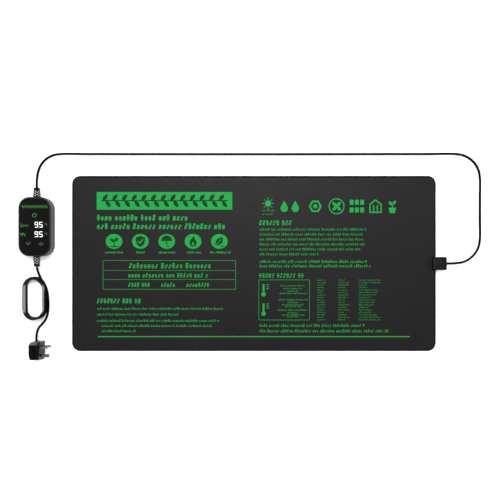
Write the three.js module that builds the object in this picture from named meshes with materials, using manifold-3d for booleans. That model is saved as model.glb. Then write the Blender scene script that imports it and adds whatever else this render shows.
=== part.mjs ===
// Seedling heat mat with an inline thermostat and a mains lead.
// Millimetres, +Z up. The origin is the centre of the mat's underside. +X runs to the edge that the
// lead leaves, and +Y to the side that the lead is led round.
import * as THREE from "three";
import { mergeVertices } from "three/addons/utils/BufferGeometryUtils.js";
import Module from "manifold-3d";

const wasm = await Module();
wasm.setup();

// ---- Driving dimensions --------------------------------------------------------------------
const FIT = 0.3; // gap between neighbouring pieces
const LAYER_GAP = 0.1; // gap between the flat layers of the mat

const MAT = { length: 527, width: 254, corner: 12, rim: 10, cover: 0.5, pad: 0.8, wire: 0.7, foil: 0.3 };
const HEATER = { runs: 10, outerY: 103, leftX: -240, rightX: 230, riserX: 243, wireWidth: 1.2, leadY: 5 };
const BLOCK = { inner: 259, outer: 278, width: 18.8, height: 9.2, split: 4.6, wall: 1.8 };
const CASE = {
  x: -313.1, y: 52.8, width: 45.8, length: 84.9, height: 16.5, corner: 16, edge: 1,
  wall: 1.8, split: 8.25, bossX: 13.8, bossY: 34.3, bossRadius: 3,
};
const FACE = { recess: 1.6, thickness: 1, floor: 1.4 }; // glossy panel let into the front shell
const BOARD = { width: 38, length: 60, bottom: 5.4, thickness: 1.6 };
const WINDOW = { x: 8.7, y: -4.1, width: 19.8, length: 27 };
const DISPLAY = { x: 6.2, upperY: 2.7, lowerY: -10.8, width: 15, length: 11 };
const KEYS = [
  { name: "power", x: 0.6, y: 16.7, width: 10, length: 10, corner: 5 },
  { name: "down", x: -8.9, y: -24.3, width: 12, length: 8.4, corner: 3 },
  { name: "up", x: 9.6, y: -24.3, width: 12, length: 8.4, corner: 3 },
];
const KEY = { flange: 0.9, flangeTop: 13.6, flangeBottom: 12.6, stemBottom: 11.9, stemRadius: 1.5 };
const RELIEF = { neck: 4, flange: 5.6, root: 5.25, tip: 4.5, upperReach: 56.1, lowerReach: 57.2 };
const CORD = { diameter: 3.3, sides: 8 };
const HANK = { x: -318.6, y: -51.1, width: 33.4, length: 62.4, band: 6.6, height: 10 };
const PLUG = {
  back: -319.6, front: -304.3, top: -112.3, bottom: -136.6, taperFrom: -129, backTaper: 1.7,
  frontTaper: 1.4, height: 22, plate: 3.2, wall: 1.8, pinTip: -293.6, pinRoot: -311.3,
};
const PIN = { lineY: -119.6, earthY: -132, spread: 6.35, lineWide: 2.3, lineTall: 3.7, earthWide: 4.2, earthTall: 2.3 };

// Points along the middle of each free stretch of cord.
const MAT_LEAD = [
  [278.3, 0, 4.6], [284.5, 0.1, 3.4], [293.3, 0.4, 1.9], [304.5, 2.1, 1.7], [314.2, 7.2, 1.7], [321.9, 14.9, 1.7],
  [327, 24.6, 1.7], [328.8, 35.9, 1.7], [328.8, 62, 1.7], [328.8, 95, 1.7], [328.8, 123.8, 1.7], [327, 134.8, 1.7],
  [322, 144.6, 1.7], [314.3, 152.3, 1.7], [304.3, 157.4, 1.7], [293.3, 159.2, 1.7], [250, 159.2, 1.7],
  [150, 159.1, 1.7], [50, 159, 1.7], [-50, 159, 1.7], [-150, 159.1, 1.7], [-240, 159.2, 1.7], [-281.1, 159.2, 1.7],
  [-291.7, 157.5, 1.7], [-301.3, 152.6, 1.7], [-308.7, 145.1, 1.7], [-313.3, 135.5, 1.8], [-314.8, 126.5, 2.8],
  [-314.5, 121, 4.5], [-313.7, 115, 7.2], [-313.1, 109.3, 8.25],
];
const PLUG_LEAD_UPPER = [
  [-313.1, -4.8, 8.25], [-312.7, -7.4, 8.25], [-311.7, -11, 8.25], [-309.8, -15.8, 8.2], [-307.9, -20.6, 8.2],
];
const PLUG_LEAD_LOWER = [
  [-300, -44, 1.7], [-299.4, -50, 1.7], [-299, -56.6, 1.7], [-299.1, -64, 1.7], [-299.6, -71, 1.7],
  [-301.2, -77.5, 1.7], [-304.2, -83.3, 1.7], [-308.4, -88.3, 2], [-312, -92.8, 3.2], [-313.6, -97.6, 5.2],
  [-313.6, -102.2, 7.8], [-313.1, -106.4, 9.8], [-312.5, -109.6, 10.8], [-312.2, -112, 11],
];

// ---- Heights that follow from them ---------------------------------------------------------
const PAD_BOTTOM = MAT.cover + LAYER_GAP;
const WIRE_BOTTOM = PAD_BOTTOM + MAT.pad + LAYER_GAP;
const FOIL_BOTTOM = WIRE_BOTTOM + MAT.wire + LAYER_GAP;
const TOP_PLATE = FOIL_BOTTOM + MAT.foil + LAYER_GAP;
const MAT_TOP = TOP_PLATE + MAT.cover;
const BOARD_TOP = BOARD.bottom + BOARD.thickness;
const PART_BOTTOM = BOARD_TOP + FIT / 2;
const PLATE_TOP = CASE.height - FACE.thickness - FIT / 2;
const PLATE_BOTTOM = PLATE_TOP - FACE.floor;
const PLUG_MIDDLE = PLUG.height / 2;

// ---- Materials -----------------------------------------------------------------------------
const finish = (color, roughness, metalness = 0) => new THREE.MeshStandardMaterial({ color, roughness, metalness });
const MATERIAL = {
  cover: finish(0x2e2c2d, 0.7),
  pad: finish(0xc9c4b4, 0.95),
  foil: finish(0xc8cacc, 0.35, 1),
  wire: finish(0xb5482a, 0.6),
  blackPlastic: finish(0x161616, 0.5),
  glossyFace: finish(0x101012, 0.12),
  caseGrey: finish(0x5c5c5e, 0.45),
  rearGrey: finish(0x4e4e50, 0.5),
  board: finish(0x1d5a34, 0.5),
  component: finish(0x202226, 0.5),
  yellow: finish(0xc8a52c, 0.5),
  display: finish(0x2a2a2c, 0.3),
  steel: finish(0xa8a8aa, 0.35, 1),
  brass: finish(0xb9b4a8, 0.3, 1),
  glass: finish(0xd8e4e0, 0.1),
  cord: finish(0x0f0f10, 0.45),
};

// ---- Solids --------------------------------------------------------------------------------
function solid(geometry) {
  const bare = geometry.index ? geometry.toNonIndexed() : geometry.clone();
  bare.deleteAttribute("normal");
  bare.deleteAttribute("uv");
  const merged = mergeVertices(bare, 1e-4);
  const mesh = new wasm.Mesh({
    numProp: 3,
    vertProperties: merged.attributes.position.array,
    triVerts: new Uint32Array(merged.index.array),
  });
  return new wasm.Manifold(mesh);
}

function geometryOf(made) {
  const mesh = made.getMesh();
  const geometry = new THREE.BufferGeometry();
  geometry.setAttribute("position", new THREE.BufferAttribute(mesh.vertProperties, 3));
  geometry.setIndex(new THREE.BufferAttribute(mesh.triVerts, 1));
  geometry.computeVertexNormals();
  return geometry;
}

const cut = (from, ...tools) => tools.reduce((left, tool) => left.subtract(tool), from);
const join = (first, ...rest) => rest.reduce((sum, next) => sum.add(next), first);

function block(x0, x1, y0, y1, z0, z1) {
  const box = new THREE.BoxGeometry(x1 - x0, y1 - y0, z1 - z0);
  return solid(box.translate((x0 + x1) / 2, (y0 + y1) / 2, (z0 + z1) / 2));
}

// A rounded rectangle about (x, y), its corners drawn as arcs.
function roundedOutline(width, length, corner, x = 0, y = 0, Kind = THREE.Shape) {
  const outline = new Kind();
  const dx = width / 2 - corner;
  const dy = length / 2 - corner;
  outline.absarc(x + dx, y + dy, corner, 0, Math.PI / 2);
  outline.absarc(x - dx, y + dy, corner, Math.PI / 2, Math.PI);
  outline.absarc(x - dx, y - dy, corner, Math.PI, 1.5 * Math.PI);
  outline.absarc(x + dx, y - dy, corner, 1.5 * Math.PI, 2 * Math.PI);
  outline.closePath();
  return outline;
}

function slab(outline, z0, z1, curveSegments = 5) {
  const options = { depth: z1 - z0, bevelEnabled: false, curveSegments };
  return solid(new THREE.ExtrudeGeometry(outline, options).translate(0, 0, z0));
}

// A slab whose upper and lower edges are broken by a small bevel inside its outline.
function softSlab(outline, z0, z1, bevel, curveSegments = 6, bevelSegments = 2) {
  const options = {
    depth: z1 - z0 - 2 * bevel, bevelThickness: bevel, bevelSize: bevel, bevelOffset: -bevel,
    bevelSegments, curveSegments,
  };
  return solid(new THREE.ExtrudeGeometry(outline, options).translate(0, 0, z0 + bevel));
}

function pin(x, y, radius, z0, z1, sides = 12) {
  const cylinder = new THREE.CylinderGeometry(radius, radius, z1 - z0, sides);
  return solid(cylinder.rotateX(Math.PI / 2).translate(x, y, (z0 + z1) / 2));
}

// A flat strip of constant width along a polyline, its corners mitred.
function strip(points, width, z0, z1) {
  const sideOf = (sign) => points.map(([x, y], i) => {
    const here = new THREE.Vector2(x, y);
    const before = i > 0 ? here.clone().sub(new THREE.Vector2(...points[i - 1])).normalize() : null;
    const after = i < points.length - 1 ? new THREE.Vector2(...points[i + 1]).sub(here).normalize() : null;
    const along = (before || after).clone().add(after || before).normalize();
    const across = new THREE.Vector2(-along.y, along.x);
    const mitre = Math.abs(across.dot(new THREE.Vector2(-(after || before).y, (after || before).x)));
    return here.addScaledVector(across, (sign * width) / 2 / mitre);
  });
  return slab(new THREE.Shape([...sideOf(1), ...sideOf(-1).reverse()]), z0, z1);
}

// A round cord along hand-set points.
function cord(points, steps) {
  const path = new THREE.CatmullRomCurve3(points.map((p) => new THREE.Vector3(...p)), false, "centripetal");
  const section = new THREE.Shape();
  for (let i = 0; i < CORD.sides; i += 1) {
    const angle = ((i + 0.5) / CORD.sides) * 2 * Math.PI;
    const at = [(CORD.diameter / 2) * Math.cos(angle), (CORD.diameter / 2) * Math.sin(angle)];
    if (i === 0) section.moveTo(...at);
    else section.lineTo(...at);
  }
  section.closePath();
  return new THREE.ExtrudeGeometry(section, { steps, bevelEnabled: false, extrudePath: path });
}

function part(group, name, shape, material) {
  const geometry = shape.isBufferGeometry ? shape : geometryOf(shape);
  const mesh = new THREE.Mesh(geometry, material);
  mesh.name = name;
  group.add(mesh);
  return mesh;
}

// ---- Mat -----------------------------------------------------------------------------------
function heaterRoute() {
  const step = (2 * HEATER.outerY) / (HEATER.runs - 1);
  const end = MAT.length / 2 - MAT.rim - FIT;
  const route = [[end, HEATER.leadY], [HEATER.riserX, HEATER.leadY], [HEATER.riserX, HEATER.outerY]];
  for (let run = 0; run < HEATER.runs; run += 1) {
    const y = HEATER.outerY - run * step;
    const leftward = run % 2 === 0;
    if (run > 0) route.push([leftward ? HEATER.rightX : HEATER.leftX, y]);
    if (run < HEATER.runs - 1) route.push([leftward ? HEATER.leftX : HEATER.rightX, y]);
  }
  route.push([HEATER.riserX, -HEATER.outerY], [HEATER.riserX, -HEATER.leadY], [end, -HEATER.leadY]);
  return route;
}

function makeMat() {
  const mat = new THREE.Group();
  const outline = roundedOutline(MAT.length, MAT.width, MAT.corner);
  const pocketLength = MAT.length - 2 * MAT.rim;
  const pocketWidth = MAT.width - 2 * MAT.rim;
  const inner = roundedOutline(pocketLength - 2 * FIT, pocketWidth - 2 * FIT, 4);
  const half = BLOCK.width / 2 + FIT;

  part(mat, "bottom_cover", slab(outline, 0, MAT.cover, 6), MATERIAL.cover);
  part(mat, "insulation_pad", slab(inner, PAD_BOTTOM, PAD_BOTTOM + MAT.pad, 2), MATERIAL.pad);
  const wire = strip(heaterRoute(), HEATER.wireWidth, WIRE_BOTTOM, WIRE_BOTTOM + MAT.wire);
  part(mat, "heating_wire", wire, MATERIAL.wire);
  part(mat, "heat_spreader_foil", slab(inner, FOIL_BOTTOM, FOIL_BOTTOM + MAT.foil, 2), MATERIAL.foil);

  const sensor = block(-30, -22, -2.2, 2.2, WIRE_BOTTOM, WIRE_BOTTOM + MAT.wire);
  part(mat, "temperature_sensor", sensor, MATERIAL.component);
  const sensorLeadEnd = MAT.length / 2 - MAT.rim - FIT;
  const sensorLead = block(-22 + FIT, sensorLeadEnd, -1, 1, WIRE_BOTTOM, WIRE_BOTTOM + MAT.wire);
  part(mat, "sensor_lead", sensorLead, MATERIAL.cord);

  const pocket = slab(roundedOutline(pocketLength, pocketWidth, 4), 0, TOP_PLATE, 3);
  const notch = block(BLOCK.inner - FIT, MAT.length, -half, half, 0, MAT_TOP + 1);
  const channel = block(MAT.length / 2 - MAT.rim - 1, BLOCK.inner, -7.5, 7.5, 0, FOIL_BOTTOM);
  const cover = cut(slab(outline, PAD_BOTTOM, MAT_TOP, 6), pocket, notch, channel);
  part(mat, "top_cover", cover, MATERIAL.cover);
  return mat;
}

// ---- Block where the lead enters the mat -----------------------------------------------------
function makeEntryBlock() {
  const entry = new THREE.Group();
  const half = BLOCK.width / 2;
  const foot = MAT.length / 2 + FIT;
  const roomStart = foot + BLOCK.wall;
  const roomEnd = BLOCK.outer - BLOCK.wall;
  const roomHalf = half - BLOCK.wall;
  const footprint = (x0) => {
    const middle = (x0 + BLOCK.outer) / 2;
    return roundedOutline(BLOCK.outer - x0, BLOCK.width, 1.5, middle, 0);
  };
  const lower = cut(
    slab(footprint(foot), 0, BLOCK.split - FIT / 2, 2),
    block(roomStart, roomEnd, -roomHalf, roomHalf, 1.4, BLOCK.split),
    block(foot - 1, roomStart + 1, -6, 6, 1.4, BLOCK.split),
  );
  part(entry, "entry_block_lower", lower, MATERIAL.blackPlastic);

  const upper = softSlab(footprint(BLOCK.inner), MAT.cover + LAYER_GAP - 2, BLOCK.height, 1, 2, 1);
  const room = block(roomStart, roomEnd, -roomHalf, roomHalf, 0, BLOCK.height - BLOCK.wall);
  const below = block(foot - FIT, BLOCK.outer + 1, -half - 1, half + 1, -3, BLOCK.split + FIT / 2);
  const underside = block(BLOCK.inner - 1, foot, -half - 1, half + 1, -3, MAT.cover + LAYER_GAP);
  const wireWay = block(BLOCK.inner - 1, roomStart + 1, -6, 6, 0, FOIL_BOTTOM);
  part(entry, "entry_block_upper", cut(upper, room, below, underside, wireWay), MATERIAL.blackPlastic);

  [-4.4, 0, 4.4].forEach((y, i) => {
    const sleeve = new THREE.CylinderGeometry(1.3, 1.3, 8, 8).rotateZ(Math.PI / 2).translate(271.4, y, 3.6);
    part(entry, `splice_sleeve_${i + 1}`, sleeve, MATERIAL.component);
  });
  return entry;
}

// ---- Thermostat ------------------------------------------------------------------------------
function keyOutline(key, grow, Kind) {
  return roundedOutline(key.width + 2 * grow, key.length + 2 * grow, key.corner + grow, key.x, key.y, Kind);
}

function shellSolid() {
  const body = softSlab(roundedOutline(CASE.width, CASE.length, CASE.corner), 0, CASE.height, CASE.edge);
  const width = CASE.width - 2 * CASE.wall;
  const length = CASE.length - 2 * CASE.wall;
  const cavity = slab(roundedOutline(width, length, CASE.corner - CASE.wall), CASE.wall, PLATE_BOTTOM, 6);
  const necks = new THREE.CylinderGeometry(RELIEF.neck + FIT, RELIEF.neck + FIT, CASE.length + 10, 12);
  return cut(body, cavity, solid(necks.translate(0, 0, CASE.split)));
}

function atBosses(make) {
  return [-1, 1].flatMap((sx) => [-1, 1].map((sy) => make(sx * CASE.bossX, sy * CASE.bossY)));
}

function makeShells(box) {
  const whole = shellSolid();
  const wide = CASE.length;
  const seam = FIT / 2;
  const recess = 2 * FACE.recess;

  const rearHalf = cut(whole, block(-wide, wide, -wide, wide, CASE.split - seam, CASE.height + 1));
  const rearBosses = atBosses((x, y) => pin(x, y, CASE.bossRadius, 1, CASE.split - seam));
  const boardPosts = [-11, 11].flatMap((x) => [-26, 26].map((y) => pin(x, y, 1.6, 1, BOARD.bottom - FIT / 2, 6)));
  const screwWays = atBosses((x, y) => join(pin(x, y, 2.6, -1, 2.8), pin(x, y, 1.4, 0, CASE.split + 1, 8)));
  part(box, "case_rear_shell", cut(join(rearHalf, ...rearBosses, ...boardPosts), ...screwWays), MATERIAL.rearGrey);

  const frontHalf = cut(whole, block(-wide, wide, -wide, wide, -1, CASE.split + seam));
  const faceRoom = roundedOutline(CASE.width - recess, CASE.length - recess, CASE.corner - FACE.recess);
  const frontBosses = atBosses((x, y) => pin(x, y, CASE.bossRadius, CASE.split + seam, PLATE_BOTTOM + 0.5));
  const keyWays = KEYS.map((key) => slab(keyOutline(key, FIT), PLATE_BOTTOM - 1, CASE.height, 4));
  const displayWay = block(-2, 14.4, -17, 8.9, PLATE_BOTTOM - 1, CASE.height);
  const screwHoles = atBosses((x, y) => pin(x, y, 1.3, 0, 12.6, 8));
  const front = cut(
    join(frontHalf, ...frontBosses),
    slab(faceRoom, PLATE_TOP, CASE.height + 1, 6), ...keyWays, displayWay, ...screwHoles,
  );
  part(box, "case_front_shell", front, MATERIAL.caseGrey);

  const screwProfile = [[0, 0.5], [2.2, 0.5], [2.2, 1.7], [1, 2.6], [1, 11.8], [0, 12.2]];
  atBosses((x, y) => [x, y]).forEach(([x, y], i) => {
    const screw = new THREE.LatheGeometry(screwProfile.map((p) => new THREE.Vector2(...p)), 10);
    part(box, `case_screw_${i + 1}`, screw.rotateX(Math.PI / 2).translate(x, y, 0), MATERIAL.steel);
  });
}

function makeFace(box) {
  const inset = 2 * (FACE.recess + FIT / 2);
  const bottom = CASE.height - FACE.thickness;
  const outline = roundedOutline(CASE.width - inset, CASE.length - inset, CASE.corner - FACE.recess - FIT / 2);
  const windowOf = (grow) => roundedOutline(
    WINDOW.width + 2 * grow, WINDOW.length + 2 * grow, 1.5 + grow, WINDOW.x, WINDOW.y,
  );
  const keyWays = KEYS.map((key) => slab(keyOutline(key, FIT), 0, CASE.height + 1, 4));
  const face = cut(slab(outline, bottom, CASE.height, 6), slab(windowOf(FIT / 2), 0, CASE.height + 1, 2), ...keyWays);
  part(box, "face_panel", face, MATERIAL.glossyFace);
  part(box, "display_window", slab(windowOf(0), bottom, CASE.height, 2), MATERIAL.glossyFace);

  KEYS.forEach((key) => {
    const cap = slab(keyOutline(key, 0), KEY.flangeBottom, CASE.height, 4);
    const flange = slab(keyOutline(key, KEY.flange), KEY.flangeBottom, KEY.flangeTop, 4);
    const stem = pin(key.x, key.y, KEY.stemRadius, KEY.stemBottom, KEY.flangeTop, 8);
    part(box, `${key.name}_key`, join(cap, flange, stem), MATERIAL.glossyFace);
  });
}

function makeElectronics(box) {
  const outline = roundedOutline(BOARD.width, BOARD.length, 3);
  part(box, "circuit_board", slab(outline, BOARD.bottom, BOARD_TOP, 2), MATERIAL.board);
  [["upper", DISPLAY.upperY], ["lower", DISPLAY.lowerY]].forEach(([name, y]) => {
    const [x, w, l] = [DISPLAY.x, DISPLAY.width / 2, DISPLAY.length / 2];
    const module = block(x - w, x + w, y - l, y + l, PART_BOTTOM, CASE.height - FACE.thickness - FIT);
    part(box, `${name}_display_module`, module, MATERIAL.display);
  });
  KEYS.forEach((key) => {
    const body = block(key.x - 3, key.x + 3, key.y - 3, key.y + 3, PART_BOTTOM, 10.7);
    part(box, `${key.name}_switch`, join(body, pin(key.x, key.y, 1.7, 10, 11.2, 8)), MATERIAL.component);
  });
  part(box, "relay", block(-17, -5, -14, 6, PART_BOTTOM, 13.4), MATERIAL.component);
  part(box, "supply_capacitor", block(-10, 8, 24.2, 29.4, PART_BOTTOM, 12.8), MATERIAL.yellow);
  const underside = BOARD.bottom - FIT / 2;
  part(box, "microcontroller", block(-4, 4, 4, 12, underside - 1.4, underside), MATERIAL.component);
  const fuse = new THREE.CylinderGeometry(1.4, 1.4, 12, 8).rotateZ(Math.PI / 2).translate(0, -10, underside - 1.5);
  part(box, "board_fuse", fuse, MATERIAL.glass);
  [["upper", 1], ["lower", -1]].forEach(([name, way]) => {
    const clamp = block(-8, 8, way * 34 - 1.8, way * 34 + 1.8, CASE.wall + FIT, 6.2);
    part(box, `${name}_cord_clamp`, clamp, MATERIAL.blackPlastic);
  });
}

// A moulded sleeve that holds the cord in the end wall: a collar inside, a neck and a tapered tail.
function relief(reach) {
  const wallInside = CASE.length / 2 - CASE.wall - FIT;
  const wallOutside = CASE.length / 2 + FIT;
  const profile = [
    [0, wallInside - 2.6], [RELIEF.flange, wallInside - 2.6], [RELIEF.flange, wallInside],
    [RELIEF.neck, wallInside], [RELIEF.neck, wallOutside], [RELIEF.root, wallOutside],
    [RELIEF.root, wallOutside + 2], [RELIEF.tip, reach], [0, reach],
  ];
  return new THREE.LatheGeometry(profile.map((p) => new THREE.Vector2(...p)), 12);
}

function makeThermostat() {
  const box = new THREE.Group();
  box.position.set(CASE.x, CASE.y, 0);
  makeShells(box);
  makeFace(box);
  makeElectronics(box);
  const upper = part(box, "upper_strain_relief", relief(RELIEF.upperReach), MATERIAL.blackPlastic);
  upper.position.z = CASE.split;
  const lower = part(box, "lower_strain_relief", relief(RELIEF.lowerReach), MATERIAL.blackPlastic);
  lower.position.z = CASE.split;
  lower.rotation.z = Math.PI;
  return box;
}

// ---- Plug ------------------------------------------------------------------------------------
function plugPins() {
  const bladeAt = (z) => [PIN.lineY, z, PIN.lineWide, PIN.lineTall];
  return {
    line_pin: bladeAt(PLUG_MIDDLE + PIN.spread),
    neutral_pin: bladeAt(PLUG_MIDDLE - PIN.spread),
    earth_pin: [PIN.earthY, PLUG_MIDDLE, PIN.earthWide, PIN.earthTall],
  };
}

function makePlug() {
  const plug = new THREE.Group();
  const outline = new THREE.Shape([
    [PLUG.back, PLUG.top], [PLUG.back, PLUG.taperFrom], [PLUG.back + PLUG.backTaper, PLUG.bottom],
    [PLUG.front - PLUG.frontTaper, PLUG.bottom], [PLUG.front, PLUG.taperFrom], [PLUG.front, PLUG.top],
  ].map((p) => new THREE.Vector2(...p)));
  const whole = softSlab(outline, 0, PLUG.height, 0.8, 2, 1);
  const seam = PLUG.front - PLUG.plate - FIT;
  const low = PLUG.bottom - 1;
  const high = PLUG.top + 1;
  const cavity = block(
    PLUG.back + 2.8, seam + 1, PLUG.bottom + 1.5, PLUG.top - PLUG.wall, PLUG.wall, PLUG.height - PLUG.wall,
  );
  const body = cut(whole, block(seam, PLUG.front + 1, low, high, -1, PLUG.height + 1), cavity);
  part(plug, "plug_body", body, MATERIAL.blackPlastic);

  const slots = Object.values(plugPins()).map(([y, z, wide, tall]) => block(
    PLUG.back, PLUG.pinTip, y - wide / 2 - FIT / 2, y + wide / 2 + FIT / 2, z - tall / 2 - FIT / 2, z + tall / 2 + FIT / 2,
  ));
  const plate = cut(whole, block(PLUG.back - 1, seam + FIT, low, high, -1, PLUG.height + 1), ...slots);
  part(plug, "plug_face_plate", plate, MATERIAL.blackPlastic);
  const carrier = block(PLUG.front - 6.2, seam - FIT, PLUG.bottom + 1.8, PLUG.top - 2.8, 2.2, PLUG.height - 2.2);
  part(plug, "pin_carrier", cut(carrier, ...slots), MATERIAL.pad);
  Object.entries(plugPins()).forEach(([name, [y, z, wide, tall]]) => {
    const prong = block(PLUG.pinRoot, PLUG.pinTip, y - wide / 2, y + wide / 2, z - tall / 2, z + tall / 2);
    part(plug, name, prong, MATERIAL.brass);
  });
  part(plug, "plug_fuse", pin(-313, -125, 1.3, 5.5, 16.5, 8), MATERIAL.glass);
  part(plug, "plug_cord_grip", block(-313.7, -310.7, -116.5, -114.4, 8.5, 13.5), MATERIAL.pad);
  return plug;
}

// ---- Cord ------------------------------------------------------------------------------------
function makeCord() {
  const lead = new THREE.Group();
  part(lead, "mat_lead", cord(MAT_LEAD, 60), MATERIAL.cord);
  part(lead, "plug_lead_upper", cord(PLUG_LEAD_UPPER, 4), MATERIAL.cord);
  const outside = roundedOutline(HANK.width, HANK.length, HANK.width / 2, HANK.x, HANK.y);
  const holeWidth = HANK.width - 2 * HANK.band;
  const hole = roundedOutline(holeWidth, HANK.length - 2 * HANK.band, holeWidth / 2, HANK.x, HANK.y);
  part(lead, "plug_lead_hank", cut(slab(outside, 0, HANK.height, 6), slab(hole, -1, HANK.height + 1, 6)), MATERIAL.cord);
  part(lead, "plug_lead_lower", cord(PLUG_LEAD_LOWER, 14), MATERIAL.cord);
  return lead;
}

const heatMat = new THREE.Group();
heatMat.add(makeMat(), makeEntryBlock(), makeThermostat(), makePlug(), makeCord());
export default heatMat;
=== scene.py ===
import random
from math import atan2, ceil, copysign, cos, hypot, pi, radians, sin, sqrt

import bmesh
import bpy
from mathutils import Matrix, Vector


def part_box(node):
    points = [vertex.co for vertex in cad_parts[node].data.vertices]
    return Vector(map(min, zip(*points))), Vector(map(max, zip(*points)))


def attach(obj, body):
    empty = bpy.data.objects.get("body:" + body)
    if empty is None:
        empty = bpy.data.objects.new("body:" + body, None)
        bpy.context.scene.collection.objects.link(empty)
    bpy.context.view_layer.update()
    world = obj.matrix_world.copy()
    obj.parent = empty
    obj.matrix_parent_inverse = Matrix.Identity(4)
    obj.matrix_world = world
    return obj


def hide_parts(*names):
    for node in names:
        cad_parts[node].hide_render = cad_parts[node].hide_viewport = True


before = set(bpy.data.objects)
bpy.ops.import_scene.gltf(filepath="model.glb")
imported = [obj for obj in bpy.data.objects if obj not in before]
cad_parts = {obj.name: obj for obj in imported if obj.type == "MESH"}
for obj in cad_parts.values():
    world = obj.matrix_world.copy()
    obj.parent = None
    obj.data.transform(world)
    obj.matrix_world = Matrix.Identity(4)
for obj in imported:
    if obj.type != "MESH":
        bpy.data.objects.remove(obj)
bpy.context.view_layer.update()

MM = 0.001
ROOT = "root"
GAP = 0.3  # space between neighbouring pieces


def span(node):
    """Lowest and highest corner of a CAD node, in millimetres."""
    low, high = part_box(node)
    return low / MM, high / MM


def middle(low, high):
    return (low.x + high.x) / 2, (low.y + high.y) / 2


MAT_LOW, MAT_HIGH = span("top_cover")
RIM_SPREAD = (1.4, 0.4)  # how much the pressed rim widens the mat past its cut size
MAT_LENGTH = MAT_HIGH.x - MAT_LOW.x + RIM_SPREAD[0]
MAT_WIDTH = MAT_HIGH.y - MAT_LOW.y + RIM_SPREAD[1]
MAT_TOP = MAT_HIGH.z
MAT_CORNER = 12
CASE_LOW, CASE_HIGH = span("case_rear_shell")
CASE_X, CASE_Y = middle(CASE_LOW, CASE_HIGH)
CASE_WIDTH = CASE_HIGH.x - CASE_LOW.x + 1  # its sides bulge half a millimetre
CASE_LENGTH = CASE_HIGH.y - CASE_LOW.y
CASE_TOP = span("case_front_shell")[1].z
CASE_SPLIT = (CASE_HIGH.z + span("case_front_shell")[0].z) / 2
CASE_CORNER = 16

# ---- Camera ----
CAMERA_AT = (-5.7, 19.5, 736)
FLOOR_SEEN = 729  # width of floor in the picture
SENSOR = 36


def placed(name, data, place=(0, 0, 0)):
    """A new object in the scene."""
    holder = bpy.data.objects.new(name, data)
    holder.location = place
    bpy.context.scene.collection.objects.link(holder)
    return holder


def make_camera():
    camera = bpy.data.cameras.new("camera")
    camera.sensor_width = SENSOR
    camera.lens = SENSOR * CAMERA_AT[2] / FLOOR_SEEN
    bpy.context.scene.camera = placed("camera", camera, Vector(CAMERA_AT) * MM)


make_camera()

# ---- Materials ----
RAMP_ENDS = (0.3, 0.7)  # the part of a noise's range that most of it lies in


class Paint:
    """A Principled material and the few nodes that every finish here is built from."""

    def __init__(self, material, **values):
        self.material = material
        self.material.use_nodes = True
        self.tree = self.material.node_tree
        self.shader = self.tree.nodes["Principled BSDF"]
        self.place = self.tree.nodes.new("ShaderNodeTexCoord").outputs["Object"]
        for key, value in values.items():
            self.shader.inputs[key.replace("_", " ")].default_value = value

    def node(self, kind, output, entries, **settings):
        """An output of a new node whose entries are fed by values or by other outputs."""
        made = self.tree.nodes.new("ShaderNode" + kind)
        for key, value in settings.items():
            setattr(made, key, value)
        for key, value in entries.items():
            if isinstance(value, bpy.types.NodeSocket):
                self.tree.links.new(value, made.inputs[key])
            else:
                made.inputs[key].default_value = value
        return made.outputs[output]

    def feed(self, entry, output):
        self.tree.links.new(output, self.shader.inputs[entry])

    def noise(self, scale, detail, roughness=0.5, stretch=None):
        place = self.place
        if stretch:
            place = self.node("Mapping", "Vector", {"Vector": place, "Scale": stretch})
        entries = {"Vector": place, "Scale": scale, "Detail": detail, "Roughness": roughness}
        return self.node("TexNoise", "Fac", entries)

    def texture(self, kind, *details):
        """Noise, or cells if the kind is a Voronoi feature instead of a noise's scale."""
        if not isinstance(kind, str):
            return self.noise(kind, *details)
        entries = {"Vector": self.place, "Scale": details[0]}
        return self.node("TexVoronoi", "Distance", entries, feature=kind)

    def math(self, operation, *values):
        return self.node("Math", 0, dict(enumerate(values)), operation=operation)

    def mapped(self, value, start, end, low, high):
        """The value with the range from start to end carried over to low to high."""
        entries = {"Value": value, "From Min": start, "From Max": end, "To Min": low, "To Max": high}
        return self.node("MapRange", "Result", entries)

    def ramp(self, fac, low, high, ends=RAMP_ENDS):
        made = self.tree.nodes.new("ShaderNodeValToRGB")
        for stop, position, colour in zip(made.color_ramp.elements, ends, (low, high)):
            stop.position = position
            stop.color = (*colour, 1)
        self.tree.links.new(fac, made.inputs["Fac"])
        return made.outputs["Color"]

    def bump(self, height, depth, strength):
        """Adds a bump of that depth in millimetres, over any bump made before it."""
        entries = {"Strength": strength, "Distance": depth * MM, "Height": height}
        earlier = self.shader.inputs["Normal"].links
        if earlier:
            entries["Normal"] = earlier[0].from_socket
        self.feed("Normal", self.node("Bump", "Normal", entries))


def finish(name, colours, mottle, gloss, shine, *reliefs, ends=RAMP_ENDS, **values):
    """A finish whose colour, roughness and surface each follow a texture.

    The texture mottle runs between the two colours, and the texture shine between the two values of gloss.
    Each relief is a texture, its depth in millimetres and its strength."""
    paint = Paint(bpy.data.materials.new(name), **values)
    paint.feed("Base Color", paint.ramp(paint.texture(*mottle), *colours, ends))
    if shine:
        paint.feed("Roughness", paint.mapped(paint.texture(*shine), *RAMP_ENDS, *gloss))
    for texture, depth, strength in reliefs:
        paint.bump(paint.texture(*texture), depth, strength)
    return paint.material


def greys(low, high):
    return (low, low, low), (high, high, high)


def vinyl(name, colours, specular):
    """Fine-grained sheet vinyl with faint clouding and a pebbled surface."""
    pebbles, grain = (("F1", 1100), 0.03, 0.5), ((420, 6, 0.6), 0.04, 0.6)
    return finish(
        name, colours, (14, 6, 0.6), (0.49, 0.54), (60, 5), pebbles, grain, Specular_IOR_Level=specular
    )


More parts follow.
